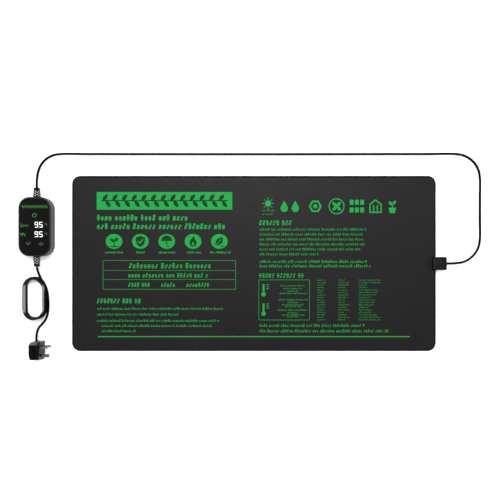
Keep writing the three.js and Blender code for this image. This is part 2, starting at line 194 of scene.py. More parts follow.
def moulded(name, colours, low, high, specular, grain=1500):
    """Injection-moulded plastic with a spark-eroded texture."""
    relief = ((grain, 5, 0.65), 0.03, 0.6)
    return finish(name, colours, (90, 5, 0.6), (low, high), (300, 4), relief, Specular_IOR_Level=specular)


def polished(name, colours):
    """Polished plastic with faint wiping marks in its shine."""
    return finish(
        name, colours, (40, 4), (0.1, 0.2), (1, 6, 0.7, (70, 260, 70)), ((120, 3), 0.01, 0.3),
        Specular_IOR_Level=0.17, Coat_Weight=0.02, Coat_Roughness=0.12,
    )


def cord_jacket(name):
    """Soft vinyl cord jacket, slightly mottled, with a faint drawn texture."""
    return finish(
        name, greys(0.0004, 0.0008), (160, 4), (0.34, 0.46), (220, 4), ((900, 4), 0.02, 0.5),
        Specular_IOR_Level=0.03,
    )


def ink(name, *colours):
    """Screen-printed ink: slightly uneven cover, pulled thin in places."""
    relief = ((800, 4), 0.01, 0.4)
    return finish(
        name, colours, (260, 6, 0.7), (0.5, 0.64), (180, 4), relief, ends=(0.25, 0.6), Specular_IOR_Level=0.12
    )


def metal(name, colours):
    """Plated metal with drawing marks."""
    marks = (1, 5, 0.6, (400, 4000, 4000))
    return finish(name, colours, marks, (0.22, 0.38), marks, (marks, 0.008, 0.5), Metallic=1.0)


def lit(name, colour, strength):
    """Display segments: a pale diffuser that glows."""
    paint = Paint(bpy.data.materials.new(name), Roughness=0.4, Emission_Strength=strength)
    paint.feed("Base Color", paint.ramp(paint.noise(900, 3), *greys(0.03, 0.05)))
    paint.feed("Emission Color", paint.ramp(paint.noise(500, 3), colour, (1, 1, 1)))
    return paint.material


COVER = vinyl("cover_vinyl", ((0.0022, 0.0014, 0.0017), (0.0034, 0.0026, 0.0029)), 0.16)
# Darker vinyl for the mat's margin: painted shade on its rounded edge.
MAT_EDGE_SHADE = vinyl("edge_shade_vinyl", greys(0.0006, 0.0012), 0.06)
INK_GREEN = ink("green_ink", (0.00172, 0.1806, 0.0258), (0.002, 0.21, 0.03))
INK_DARK = ink("dark_ink", (0.001, 0.012, 0.003), (0.002, 0.02, 0.005))
FACE_INK = ink("face_ink", (0.006, 0.105, 0.006), (0.009, 0.14, 0.008))
FACE_TEAL = ink("face_teal_ink", (0.008, 0.055, 0.03), (0.012, 0.075, 0.04))
FACE_PALE = ink("face_pale_ink", (0.035, 0.12, 0.045), (0.05, 0.16, 0.06))
BLACK = moulded("black_plastic", greys(0.0004, 0.0009), 0.22, 0.32, 0.1)
# Pale plastic for the knurl's diamond tops: painted highlights.
KNURL_HIGHLIGHT_PLASTIC = moulded("knurl_highlight_plastic", greys(0.36, 0.46), 0.4, 0.5, 0.3)
# A lighter grey for faces turned towards the lamps: painted light.
PAINTED_LIT_PLASTIC = moulded("painted_lit_plastic", greys(0.02, 0.1), 0.4, 0.5, 0.3, 900)
SLEEVE = moulded("sleeve_plastic", greys(0.0008, 0.0014), 0.4, 0.5, 0.05)
BLOCK_BLACK = moulded("block_plastic", greys(0.0006, 0.001), 0.36, 0.5, 0.05, 1000)
# A lighter grey for the block's left-facing end: painted light on that side.
BLOCK_RAMP_LIT = moulded("block_ramp_painted_light_plastic", greys(0.005, 0.014), 0.36, 0.5, 0.14, 1000)
BLOCK_PANEL = moulded("block_panel_plastic", greys(0.0006, 0.0055), 0.36, 0.5, 0.12, 1000)
FRONT_GREY = moulded("case_front_plastic", greys(0.005, 0.008), 0.3, 0.4, 0.22)
REAR_GREY = moulded("case_rear_plastic", greys(0.007, 0.01), 0.4, 0.5, 0.22)
FACE = polished("face_gloss", greys(0.001, 0.0018))
WINDOW = polished("window_gloss", greys(0.0006, 0.0012))
JACKET = cord_jacket("cord_jacket")
DIGITS = lit("display_digits", (0.94, 0.96, 1.0), 1.25)
STEEL = metal("zinc_steel", greys(0.5, 0.62))
PIN_METAL = metal("pin_metal", greys(0.13, 0.2))
FIBRES = (1, 8, 0.8, (900, 2600, 900))  # pressed white felt: short crossed fibres
FELT = finish(
    "insulation_felt", ((0.5, 0.48, 0.42), (0.74, 0.72, 0.66)), FIBRES, None, None, (FIBRES, 0.2, 0.8),
    Roughness=0.95, Sheen_Weight=0.3,
)
FOIL = finish(
    "spreader_foil", greys(0.72, 0.84), (60, 3), (0.2, 0.35), (300, 3), (("SMOOTH_F1", 140), 0.25, 0.7),
    Metallic=1.0,
)
WIRE = finish(
    "wire_coat", ((0.36, 0.07, 0.03), (0.5, 0.12, 0.05)), (500, 3), (0.45, 0.6), (300, 3),
    ((1500, 3), 0.02, 1), Specular_IOR_Level=0.4,
)
TRACKS = ("DISTANCE_TO_EDGE", 260)  # faint tracks under a circuit board's green mask
BOARD = finish(
    "circuit_board", ((0.03, 0.22, 0.08), (0.012, 0.12, 0.045)), TRACKS, (0.25, 0.4), (400, 3),
    (TRACKS, 0.03, 1), ends=(0.02, 0.08), Coat_Weight=0.3, Coat_Roughness=0.15,
)
COMPONENT = moulded("component_plastic", greys(0.014, 0.022), 0.3, 0.45, 0.5, 2500)
DISPLAY_BODY = moulded("display_plastic", greys(0.025, 0.035), 0.35, 0.5, 0.5, 2500)
FILM = moulded("film_yellow", ((0.5, 0.33, 0.02), (0.66, 0.45, 0.04)), 0.25, 0.4, 0.5, 1200)
NYLON = moulded("carrier_nylon", ((0.48, 0.46, 0.4), (0.58, 0.56, 0.5)), 0.4, 0.55, 0.5, 1200)
GLASS = finish(
    "fuse_glass", ((0.75, 0.8, 0.78), (0.9, 0.95, 0.93)), (200, 3), (0.04, 0.1), (300, 3),
    IOR=1.5, Transmission_Weight=0.8,
)

# ---- Mesh helpers ----
CREASE = 35  # degrees, beyond which an edge stays sharp
redrawn = set()  # CAD nodes that a finer piece stands for


def finish_piece(piece, material, slot, replaced=(), body=ROOT):
    piece.data.materials.append(material)
    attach(piece, body)
    if replaced:
        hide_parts(*replaced)
    redrawn.update(replaced)
    return piece


def smooth(mesh, crease=CREASE):
    mesh.polygons.foreach_set("use_smooth", [True] * len(mesh.polygons))
    mesh.set_sharp_from_angle(angle=radians(crease))


def mesh_object(name, points, faces, crease=CREASE):
    """An object from points in millimetres, its faces turned outwards and smoothed up to the crease angle."""
    mesh = bpy.data.meshes.new(name)
    mesh.from_pydata([Vector(p) * MM for p in points], [], faces)
    work = bmesh.new()
    work.from_mesh(mesh)
    bmesh.ops.remove_doubles(work, verts=work.verts, dist=1e-7)
    bmesh.ops.recalc_face_normals(work, faces=work.faces)
    work.to_mesh(mesh)
    work.free()
    smooth(mesh, crease)
    return placed(name, mesh)


def loft(rings):
    """Points and faces of a closed form through rings that all have the same number of points."""
    count = len(rings[0])
    points = [p for ring in rings for p in ring]
    faces = [tuple(reversed(range(count)))]
    for k in range(len(rings) - 1):
        for i in range(count):
            j = (i + 1) % count
            faces.append((k * count + i, k * count + j, (k + 1) * count + j, (k + 1) * count + i))
    last = (len(rings) - 1) * count
    faces.append(tuple(range(last, last + count)))
    return points, faces


def lofted(name, rings, *looks, crease=CREASE):
    """A finished piece lofted through rings."""
    return finish_piece(mesh_object(name, *loft(rings), crease), *looks)


def joined(shapes):
    """One list of points and faces from several."""
    points, faces = [], []
    for shape_points, shape_faces in shapes:
        base = len(points)
        points += shape_points
        faces += [tuple(base + i for i in face) for face in shape_faces]
    return points, faces


def polar(x, y, radius, degrees):
    return x + radius * cos(radians(degrees)), y + radius * sin(radians(degrees))


def circle(x, y, radius, sides):
    return [polar(x, y, radius, 360 * i / sides) for i in range(sides)]


def rounded(width, length, corner, x=0.0, y=0.0, steps=10):
    """A rounded rectangle's outline about (x, y), anticlockwise."""
    corner = max(corner, 0.02)
    outline = []
    for quarter, (sx, sy) in enumerate(((1, 1), (-1, 1), (-1, -1), (1, -1))):
        for i in range(steps + 1):
            angle = radians(90 * (quarter + i / steps))
            cx, cy = x + sx * (width / 2 - corner), y + sy * (length / 2 - corner)
            outline.append((cx + corner * cos(angle), cy + corner * sin(angle)))
    return outline


def rounded_ring(width, length, corner, inset, z, x=0.0, y=0.0, steps=10):
    outline = rounded(width - 2 * inset, length - 2 * inset, corner - inset, x, y, steps)
    return [(px, py, z) for px, py in outline]


def rounded_rings(width, length, corner, profile, x=0.0, y=0.0, steps=10):
    """Rings of a rounded rectangle, one for each (inset, z) of the profile."""
    return [rounded_ring(width, length, corner, inset, z, x, y, steps) for inset, z in profile]


def edge_arc(radius, z_edge, rising, steps=4):
    """(inset, z) pairs that round an edge off: up to a top face at z_edge, or up from a bottom face there."""
    pairs = []
    for i in range(steps + 1):
        angle = radians(90 * i / steps)
        if rising:
            pairs.append((radius * (1 - cos(angle)), z_edge - radius * (1 - sin(angle))))
        else:
            pairs.append((radius * (1 - sin(angle)), z_edge + radius * (1 - cos(angle))))
    return pairs


def cut_out(piece, cutters):
    """Cuts other objects out of a piece and removes them."""
    for cutter in cutters:
        change = piece.modifiers.new("cut", "BOOLEAN")
        change.operation = "DIFFERENCE"
        change.solver = "EXACT"
        change.object = cutter
    graph = bpy.context.evaluated_depsgraph_get()
    mesh = bpy.data.meshes.new_from_object(piece.evaluated_get(graph))
    piece.modifiers.clear()
    piece.data = mesh
    for cutter in cutters:
        bpy.data.objects.remove(cutter)
    mesh.materials.clear()
    smooth(mesh)
    return piece


def prism(outline, z0, z1, name="cutter"):
    points, faces = loft([[(x, y, z0) for x, y in outline], [(x, y, z1) for x, y in outline]])
    return mesh_object(name, points, faces)


# ---- Cords ----
CORD_DIAMETER = 3.3
FLOOR_LINE = CORD_DIAMETER / 2 + 0.1  # height of the middle of a cord that lies on the floor

MAT_LEAD = [
    (278.3, 0, 4.6), (284.5, 0.1, 3.4), (293.3, 0.4, 1.9), (304.5, 2.1, 1.7), (314.2, 7.2, 1.7),
    (321.9, 14.9, 1.7), (327, 24.6, 1.7), (328.8, 35.9, 1.7), (328.8, 62, 1.7), (328.8, 95, 1.7),
    (328.8, 123.8, 1.7), (327, 134.8, 1.7), (322, 144.6, 1.7), (314.3, 152.3, 1.7), (304.3, 157.4, 1.7),
    (293.3, 159.2, 1.7), (250, 159.2, 1.7), (150, 159.1, 1.7), (50, 159, 1.7), (-50, 159, 1.7),
    (-150, 159.1, 1.7), (-240, 159.2, 1.7), (-281.1, 159.2, 1.7), (-291.7, 157.5, 1.7), (-301.3, 152.6, 1.7),
    (-308.7, 145.1, 1.7), (-313.3, 135.5, 1.8), (-314.8, 126.5, 2.8), (-314.5, 121, 4.5), (-313.7, 115, 7.2),
    (-313.1, 109.3, 8.25),
]
PLUG_LEAD_UPPER = [
    (-313.1, -4.8, 8.25), (-312.7, -7.4, 8.25), (-311.7, -11, 8.25), (-309.8, -15.8, 8.2),
    (-307.9, -20.6, 8.2), (-306.2, -25.6, 8.25), (-305.2, -31, 8.3),
]
HANK_EXIT = [(-302.1, -35.2, 1.7), (-300.8, -39.6, 1.7)]
PLUG_LEAD_LOWER = [
    (-300, -44, 1.7), (-299.4, -50, 1.7), (-299, -56.6, 1.7), (-299.1, -64, 1.7), (-299.6, -71, 1.7),
    (-301.2, -77.5, 1.7), (-304.2, -83.3, 1.7), (-308.4, -88.3, 2), (-312, -92.8, 3.2), (-313.6, -97.6, 5.2),
    (-313.6, -102.2, 7.8), (-313.1, -106.4, 9.8), (-312.5, -109.6, 10.8), (-312.2, -112, 11),
]

HANK_LOW, HANK_HIGH = span("plug_lead_hank")
HANK_X, HANK_Y = middle(HANK_LOW, HANK_HIGH)
OUTER_LANE = (HANK_HIGH.x - HANK_LOW.x) / 2 - CORD_DIAMETER / 2  # radius of the outer turns' middle line
INNER_LANE = OUTER_LANE - CORD_DIAMETER
MIDDLE_LANE = OUTER_LANE - CORD_DIAMETER / 2
HANK_HALF_SIDE = (HANK_HIGH.y - HANK_LOW.y - HANK_HIGH.x + HANK_LOW.x) / 2  # half of a straight side
LAYER_1, LAYER_2, LAYER_3 = (FLOOR_LINE + i * CORD_DIAMETER for i in range(3))
# Where the cord changes lane, in turns from the right-hand side's top: start, end, radius, height, climb.
# The climb is how far it rides up at the hank's ends, where the turns are drawn into a taller bundle.
LANES = [
    (0.0, 0.0, MIDDLE_LANE, LAYER_3, 3.4),
    (0.38, 0.5, OUTER_LANE, LAYER_2, 1.7),
    (1.26, 1.38, INNER_LANE, LAYER_2, 4.2),
    (2.14, 2.26, INNER_LANE, LAYER_1, 2.5),
    (3.02, 3.14, OUTER_LANE, LAYER_1, 0),
]
HANK_TURNS = 3.955
LEFT_SPREAD, RIGHT_SPREAD = 1.04, 1.1  # how loosely each straight side lies: 1 is as tight as it can be
LOW_END_LEAN = 0.45  # how far the turns lean towards the mat per millimetre of climb at the low end
END_SQUEEZE = 0.7  # share of the gap between lanes that closes at the ends of the hank
LOW_END_REACH, HIGH_END_REACH = 0.8, 2.0  # how far the drawn-in ends still reach out
POINTS_PER_TURN = 28
# A painted highlight, for light on the left flanks of the cords, runs along the hank, this far from its
# middle line on the left and on the right.
HANK_HIGHLIGHT_LEFT, HANK_HIGHLIGHT_RIGHT = OUTER_LANE * LEFT_SPREAD - 1.8, INNER_LANE * RIGHT_SPREAD + 1.0
HANK_HIGHLIGHT_REACH = 9  # how far aside of the hank's middle its line is wholly the left or the right one
HANK_HIGHLIGHT_HALF_WIDTH, HANK_HIGHLIGHT_GONE = 1.8, 2.4  # how far from its line it starts to fade and is gone
HANK_HIGHLIGHT_END_FROM, HANK_HIGHLIGHT_END_TO = 3, 6.5  # how far past the straight sides it thins out
HANK_HIGHLIGHT_AT_ENDS = 0.05  # what is left of it there


def lane_at(turn):
    lane = Vector(LANES[0][2:])
    for start, end, *following in LANES[1:]:
        if turn > start:
            part = min(1, (turn - start) / (end - start))
            lane = lane.lerp(Vector(following), part * part * (3 - 2 * part))
    return lane


def hank_point(turn):
    """A point on the hank: clockwise from the top of its right-hand side, seen from above."""
    radius, height, climb = lane_at(turn)
    side = 2 * HANK_HALF_SIDE
    arc = pi * MIDDLE_LANE
    along = (turn % 1) * 2 * (side + arc)
    way = 1 if along < side + arc else -1  # down the right-hand side, then up the left-hand one
    along %= side + arc
    if along < side:
        x, y = way * radius, way * (HANK_HALF_SIDE - along)
    else:
        angle = (along - side) / MIDDLE_LANE
        bundled = sin(angle)
        reach, lean = (LOW_END_REACH, LOW_END_LEAN) if way > 0 else (HIGH_END_REACH, 0)
        radius += (MIDDLE_LANE - radius) * END_SQUEEZE * bundled
        height += climb * bundled
        x = way * radius * cos(angle) + lean * climb * bundled
        y = -way * (HANK_HALF_SIDE + reach * bundled + radius * sin(angle))
    spread = (LEFT_SPREAD + RIGHT_SPREAD) / 2 + (RIGHT_SPREAD - LEFT_SPREAD) / 2 * x / MIDDLE_LANE
    return HANK_X + x * spread, HANK_Y + y, height


def smooth_line(points, spacing=1.5):
    """A centripetal Catmull-Rom curve through the points, sampled about every spacing millimetres."""
    given = [Vector(p) for p in points]
    ends = [given[0] * 2 - given[1]] + given + [given[-1] * 2 - given[-2]]
    line = []
    for a, b, c, d in zip(ends, ends[1:], ends[2:], ends[3:]):
        t1 = (b - a).length ** 0.5
        t2 = t1 + (c - b).length ** 0.5
        t3 = t2 + (d - c).length ** 0.5
        steps = max(1, round((c - b).length / spacing))
        for i in range(steps):
            t = t1 + (t2 - t1) * i / steps
            ab = a.lerp(b, t / t1)
            bc = b.lerp(c, (t - t1) / (t2 - t1))
            cd = c.lerp(d, (t - t2) / (t3 - t2))
            line.append(ab.lerp(bc, t / t2).lerp(bc.lerp(cd, (t - t1) / (t3 - t1)), (t - t1) / (t2 - t1)))
    return line + [given[-1]]


def cord_piece(name, line, material, replaced):
    curve = bpy.data.curves.new(name, "CURVE")
    curve.dimensions = "3D"
    curve.bevel_depth = CORD_DIAMETER / 2 * MM
    curve.bevel_resolution = 5
    curve.use_fill_caps = True
    spline = curve.splines.new("POLY")
    spline.points.add(len(line) - 1)
    for point, place in zip(spline.points, line):
        point.co = (*(place * MM), 1)
    spline.use_smooth = True
    return finish_piece(placed(name, curve), material, "cord_black", replaced)


def painted_highlight_jacket():
    """The cord's jacket with a painted highlight along the hank's turns."""
    paint = Paint(cord_jacket("painted_highlight_jacket"))
    calc, mapped = paint.math, paint.mapped
    plain = paint.shader.inputs["Base Color"].links[0].from_socket
    axes = paint.node("SeparateXYZ", 0, {"Vector": paint.place}).node.outputs
    x = calc("SUBTRACT", axes["X"], HANK_X * MM)
    y = calc("ABSOLUTE", calc("SUBTRACT", axes["Y"], HANK_Y * MM))
    beyond = calc("MAXIMUM", calc("SUBTRACT", y, HANK_HALF_SIDE * MM), 0)
    radius = calc("SQRT", calc("ADD", calc("MULTIPLY", x, x), calc("MULTIPLY", beyond, beyond)))
    line = mapped(x, -HANK_HIGHLIGHT_REACH * MM, HANK_HIGHLIGHT_REACH * MM, HANK_HIGHLIGHT_LEFT * MM, HANK_HIGHLIGHT_RIGHT * MM)
    off_line = calc("ABSOLUTE", calc("SUBTRACT", radius, line))
    stripe = mapped(off_line, HANK_HIGHLIGHT_HALF_WIDTH * MM, HANK_HIGHLIGHT_GONE * MM, 1, 0)
    along = mapped(beyond, HANK_HIGHLIGHT_END_FROM * MM, HANK_HIGHLIGHT_END_TO * MM, 1, HANK_HIGHLIGHT_AT_ENDS)
    # Noise that makes the painted highlight patchy.
    patchiness = mapped(paint.node("TexNoise", "Fac", {"Scale": 700}), 0.3, 0.6, 0.75, 1)
    cover = calc("MULTIPLY", calc("MULTIPLY", stripe, along), patchiness)
    mixed = paint.node("Mix", 2, {0: cover, 6: plain, 7: (0.2, 0.2, 0.2, 1)}, data_type="RGBA")
    paint.feed("Base Color", mixed)
    return paint.material


def line_length(line):
    return sum((b - a).length for a, b in zip(line, line[1:]))


mat_line = smooth_line(MAT_LEAD)
mat_cord = cord_piece("mat_cord", mat_line, JACKET, ["mat_lead"])
hank_points = [hank_point(i / POINTS_PER_TURN) for i in range(1, int(HANK_TURNS * POINTS_PER_TURN) + 1)]
plug_line = smooth_line(PLUG_LEAD_UPPER + hank_points + HANK_EXIT + PLUG_LEAD_LOWER)
PLUG_LEAD_NODES = ["plug_lead_upper", "plug_lead_hank", "plug_lead_lower"]
# The plug cord's jacket carries a painted highlight along the hank.
plug_cord = cord_piece("plug_cord", plug_line, painted_highlight_jacket(), PLUG_LEAD_NODES)
print("cord lengths mm", round(line_length(mat_line)), round(line_length(plug_line)))

# ---- Mat ----
RIM = 10
NOTCH_X = span("entry_block_upper")[0].x - GAP
NOTCH_Y = span("entry_block_upper")[1].y + GAP
EDGE_RADIUS = 0.5
EDGE_BAND = 2.2  # width of the margin that is painted darker as shade on the mat's rounded edge
WELD_AT, WELD_DEPTH, WELD_HALF_WIDTH = 3.4, 0.22, 0.5  # the weld's groove: how far in from the edge it is
EDGE_STEPS = (0, 0.06, 0.16, 0.3, 0.5, 2.4, 3.0, 3.4, 3.8, 4.4, 6, 9.6, 10.2, 12)


def from_edge(x, y):
    """How far a point lies in from the mat's nearest straight edge."""
    return min(MAT_LENGTH / 2 - abs(x), MAT_WIDTH / 2 - abs(y))


def mat_height(x, y):
    """Height of the mat's upper face, which is very slightly uneven."""
    settle = min(1, max(0, (from_edge(x, y) - 8) / 30))
    wave = sin(x / 37 + 0.8) * sin(y / 31 - 0.4) + 0.6 * sin(x / 61 - y / 47 + 2)
    return MAT_TOP - 0.05 + 0.035 * settle * wave


def mat_lines(half, middle_steps, extra=()):
    """Grid lines across the mat: close together at both edges, even between them."""
    near = [half - step for step in EDGE_STEPS]
    inner = near[-1]
    lines = near + [-v for v in near] + [inner - 2 * inner * i / middle_steps for i in range(1, middle_steps)]
    return sorted(set(round(v, 4) for v in lines + list(extra)))


def corner_fold(x, y):
    """Moves a point of the square corner onto the rounded corner."""
    cx, cy = MAT_LENGTH / 2 - MAT_CORNER, MAT_WIDTH / 2 - MAT_CORNER
    u, v = (abs(x) - cx) / MAT_CORNER, (abs(y) - cy) / MAT_CORNER
    if u <= 0 or v <= 0:
        return x, y
    fu = u * sqrt(1 - v * v / 2)
    fv = v * sqrt(1 - u * u / 2)
    return copysign(cx + MAT_CORNER * fu, x), copysign(cy + MAT_CORNER * fv, y)


def cover_sheet():
    xs = mat_lines(MAT_LENGTH / 2, 84, [NOTCH_X])
    ys = mat_lines(MAT_WIDTH / 2, 40, [-NOTCH_Y, NOTCH_Y])
    bottom = MAT_LOW.z
    pocket = span("heat_spreader_foil")[1].z + 0.1
    points, upper, lower = [], {}, {}
    for i, x in enumerate(xs):
        for j, y in enumerate(ys):
            edge = from_edge(x, y)
            fx, fy = corner_fold(x, y)
            turn = max(0, 1 - edge / EDGE_RADIUS)
            drop = EDGE_RADIUS * (1 - sqrt(max(0, 1 - turn * turn)))
            weld = WELD_DEPTH * max(0, 1 - abs(edge - WELD_AT) / WELD_HALF_WIDTH)
            upper[i, j] = len(points)
            points.append((fx, fy, mat_height(fx, fy) - drop - weld))
            lower[i, j] = len(points)
            points.append((fx, fy, pocket if edge > RIM else bottom))
    cells = set()
    for i in range(len(xs) - 1):
        for j in range(len(ys) - 1):
            in_notch = (xs[i] + xs[i + 1]) / 2 > NOTCH_X and abs(ys[j] + ys[j + 1]) / 2 < NOTCH_Y
            if not in_notch:
                cells.add((i, j))
    faces = []
    for i, j in cells:
        ring = [(i, j), (i + 1, j), (i + 1, j + 1), (i, j + 1)]
        faces.append(tuple(upper[k] for k in ring))
        faces.append(tuple(lower[k] for k in reversed(ring)))
        sides = [(0, 1, (i, j - 1)), (1, 2, (i + 1, j)), (2, 3, (i, j + 1)), (3, 0, (i - 1, j))]
        for a, b, neighbour in sides:
            if neighbour not in cells:
                faces.append((upper[ring[a]], lower[ring[a]], lower[ring[b]], upper[ring[b]]))
    return points, faces


def make_mat():
    cover = mesh_object("mat_top_cover", *cover_sheet(), crease=50)
    finish_piece(cover, COVER, "cover_vinyl", ["top_cover"])
    # Faces near the edge get the darker vinyl: painted shade along the mat's rounded edge.
    cover.data.materials.append(MAT_EDGE_SHADE)
    for face in cover.data.polygons:
        if from_edge(face.center.x / MM, face.center.y / MM) < EDGE_BAND:
            face.material_index = 1
    back_top = span("bottom_cover")[1].z
    profile = edge_arc(0.2, 0, False, 3) + edge_arc(0.2, back_top, True, 3)
    rings = rounded_rings(MAT_LENGTH, MAT_WIDTH, MAT_CORNER, profile, steps=16)
    lofted("mat_bottom_cover", rings, COVER, "cover_vinyl", ["bottom_cover"])


make_mat()

# ---- Print ----
INK_THICK = 0.05
BAR_LIMIT = 7  # longest straight step of a bar that follows the surface
# Dashes from the bottom row up. They are diamonds, blocks and steps that all lean one way, so that they make
# no letter, alone or side by side.
MARKS = [
    ((0.2, 0.8), (0, 1), (0.2, 0.8)), ((0, 0.65), (0.35, 1)), ((0, 0.6), (0.2, 0.8), (0.4, 1)),
    ((0, 0.9), (0, 1), (0.1, 1)), ((0, 0.8), (0.2, 1)), ((0.12, 0.88), (0, 1), (0.12, 0.88)),
]


class Print:
    """Collects flat shapes of ink, placed from its origin, and makes one thin closed piece of them."""

    def __init__(self, height, lift, origin=(0, 0)):
        self.height = height
        self.lift = lift
        self.origin = origin
        self.shapes = []

    def layers(self, outline):
        """The outline's points on the lower and on the upper side of the ink."""
        placed_points = [(self.origin[0] + x, self.origin[1] + y) for x, y in outline]
        return [
            [(x, y, self.height(x, y) + side + self.lift) for x, y in placed_points]
            for side in (-INK_THICK, INK_THICK)
        ]

    def polygon(self, outline):
        self.shapes.append(loft(self.layers(outline)))

    def bar(self, x0, x1, y0, y1):
        """A rectangle, in short lengths so that it follows the surface under it."""
        across = max(1, ceil((x1 - x0) / BAR_LIMIT))
        down = max(1, ceil((y1 - y0) / (2 * BAR_LIMIT)))
        if across * down == 1:
            self.polygon([(x0, y0), (x1, y0), (x1, y1), (x0, y1)])
            return
        xs = [x0 + (x1 - x0) * i / across for i in range(across + 1)]
        ys = [y0 + (y1 - y0) * j / down for j in range(down + 1)]
        lower, upper = self.layers([(x, y) for x in xs for y in ys])
        layer, row = len(lower), len(ys)
        faces = []
        for i in range(across):
            for j in range(down):
                k = i * row + j
                ring = (k, k + row, k + row + 1, k + 1)
                faces += [tuple(layer + k for k in ring), tuple(reversed(ring))]
        rim = [i * row for i in range(across)] + [across * row + j for j in range(down)]
        rim += [i * row + down for i in range(across, 0, -1)] + list(range(down, 0, -1))
        faces += [(a, b, b + layer, a + layer) for a, b in zip(rim, rim[1:] + rim[:1])]
        self.shapes.append((lower + upper, faces))

    def disc(self, x, y, radius, sides=32):
        self.polygon(circle(x, y, radius, sides))

    def ring(self, x, y, radius, width, sides=32, start=0, sweep=360):
        """A ring, or an arc of one, made of short blocks that meet."""
        count = max(2, round(sides * sweep / 360))
        for i in range(count):
            a, b = (start + sweep * k / count for k in (i, i + 1))
            self.polygon([
                polar(x, y, radius, a), polar(x, y, radius, b),
                polar(x, y, radius - width, b), polar(x, y, radius - width, a),
            ])

    def frame(self, x0, x1, y0, y1, line):
        self.bar(x0, x1, y1 - line, y1)
        self.bar(x0, x1, y0, y0 + line)
        self.bar(x0, x0 + line, y0 + line, y1 - line)
        self.bar(x1 - line, x1, y0 + line, y1 - line)

    def leaf(self, x, y, length, width, angle):
        """A pointed leaf from its stalk end at (x, y)."""
        along = [i / 8 for i in range(9)]
        side = [(length * t, width / 2 * sin(pi * t) ** 0.8) for t in along]
        outline = side[:-1] + [(length * t, -w) for (_, w), t in zip(side[:0:-1], along[:0:-1])]
        turn = radians(angle)
        self.polygon([
            (x + u * cos(turn) - v * sin(turn), y + u * sin(turn) + v * cos(turn))
            for u, v in reversed(outline)
        ])

    def stroke(self, points, width):
        """A line of constant width through the points."""
        for (x0, y0), (x1, y1) in zip(points, points[1:]):
            run = hypot(x1 - x0, y1 - y0)
            nx, ny = -(y1 - y0) / run * width / 2, (x1 - x0) / run * width / 2
            self.polygon([(x0 - nx, y0 - ny), (x1 - nx, y1 - ny), (x1 + nx, y1 + ny), (x0 + nx, y0 + ny)])

    def words(self, x0, x1, y, height, seed, weight=0.55, capitals=False):
        """A line of small marks that stands for printed wording, with the rhythm of words and no letters."""
        pick = random.Random(seed)
        pitch = 0.66 * height
        x = x0
        while x < x1 - 0.8 * pitch:
            for _ in range(pick.randint(3, 8)):
                if x > x1 - 0.7 * pitch:
                    break
                tall = height * (1 if capitals else pick.choice((0.74, 0.74, 1)))
                self.mark(x, y - height / 2, 0.78 * pitch, tall, weight, pick.choice(MARKS))
                x += pitch
            x += 0.6 * pitch

    def mark(self, x, y, width, height, weight, rows):
        """A few stacked dashes. Each row gives where its dash starts and ends, as parts of the width."""
        step = height / len(rows)
        for k, (start, end) in enumerate(rows):
            if end > start:
                low = y + k * step + step * (1 - weight) / 2
                self.polygon([
                    (x + start * width, low), (x + end * width, low),
                    (x + end * width, low + step * weight), (x + start * width, low + step * weight),
                ])

    def piece(self, name, material, slot, body=ROOT):
        return finish_piece(mesh_object(name, *joined(self.shapes)), material, slot, body=body)


BOLD = 0.86  # how much of each row a bold mark fills
HEADING = 0.72
FINE_LINE = 0.56
LEFT_EDGE = -228  # where the left-hand column of print starts
RIGHT_EDGE = 7.5  # where the right-hand column starts
BADGE_Y = 32
BADGE_RADIUS = 12.1
BADGE_SQUASH = 0.89  # the badges are printed a little wider than tall
BADGES = [-203 + 38.2 * i for i in range(5)]
SUN, DROP = 8.4, 5.4  # radii in the row of marks


def vine(ink_print, x0, x1, y, height, count):
    """A running stem with paired leaves: a plain ornament."""
    step = (x1 - x0) / count
    ink_print.bar(x0, x1, y - 0.045 * height, y + 0.045 * height)
    for i in range(count):
        x = x0 + (i + 0.1) * step
        ink_print.leaf(x, y, 0.62 * height, 0.3 * height, 52)
        ink_print.leaf(x + 0.3 * step, y, 0.62 * height, 0.3 * height, -52)


def print_left(green):
    green.bar(-228.2, -31.5, 78, 103.6)
    green.words(LEFT_EDGE, -93, 66.5, 8.6, 1, BOLD)
    green.words(LEFT_EDGE, -37, 54, 8.6, 2, BOLD)
    for x in BADGES:
        green.polygon([(x + px, BADGE_Y + BADGE_SQUASH * py) for px, py in circle(0, 0, BADGE_RADIUS, 48)])
    captions = [(-216, -190), (-171, -157), (-138, -112.5), (-97, -75.5), (-63.5, -33)]
    for i, (x0, x1) in enumerate(captions):
        green.words(x0, x1, 16.2, 3.2, 10 + i, BOLD)
    green.frame(-219.3, -26.2, -37.8, 4.6, FINE_LINE)
    green.bar(-218.5, -27, -10.5, -10)
    green.bar(-218.5, -27, -23.6, -23.1)
    green.words(-181.5, -60, -3.2, 8.2, 20, HEADING)
    green.words(-182.5, -65.5, -17.2, 6.8, 21, HEADING)
    for i, (x0, x1) in enumerate([(-182.5, -149.5), (-135, -111), (-98, -61)]):
        green.words(x0, x1, -31, 6.4, 22 + i, HEADING, i == 0)
    green.words(LEFT_EDGE, -161.5, -54.4, 7.4, 30, HEADING, True)
    for i, (x0, x1, y) in enumerate([
        (LEFT_EDGE, -45, -65.6), (LEFT_EDGE, -109, -73.9), (LEFT_EDGE, -50.5, -83.1), (-221, -61, -90.5),
        (-221, -172, -98),
    ]):
        green.words(x0, x1, y, 3.6, 31 + i, 0.62)
    green.bar(-226.5, 226, -107, -105.5)


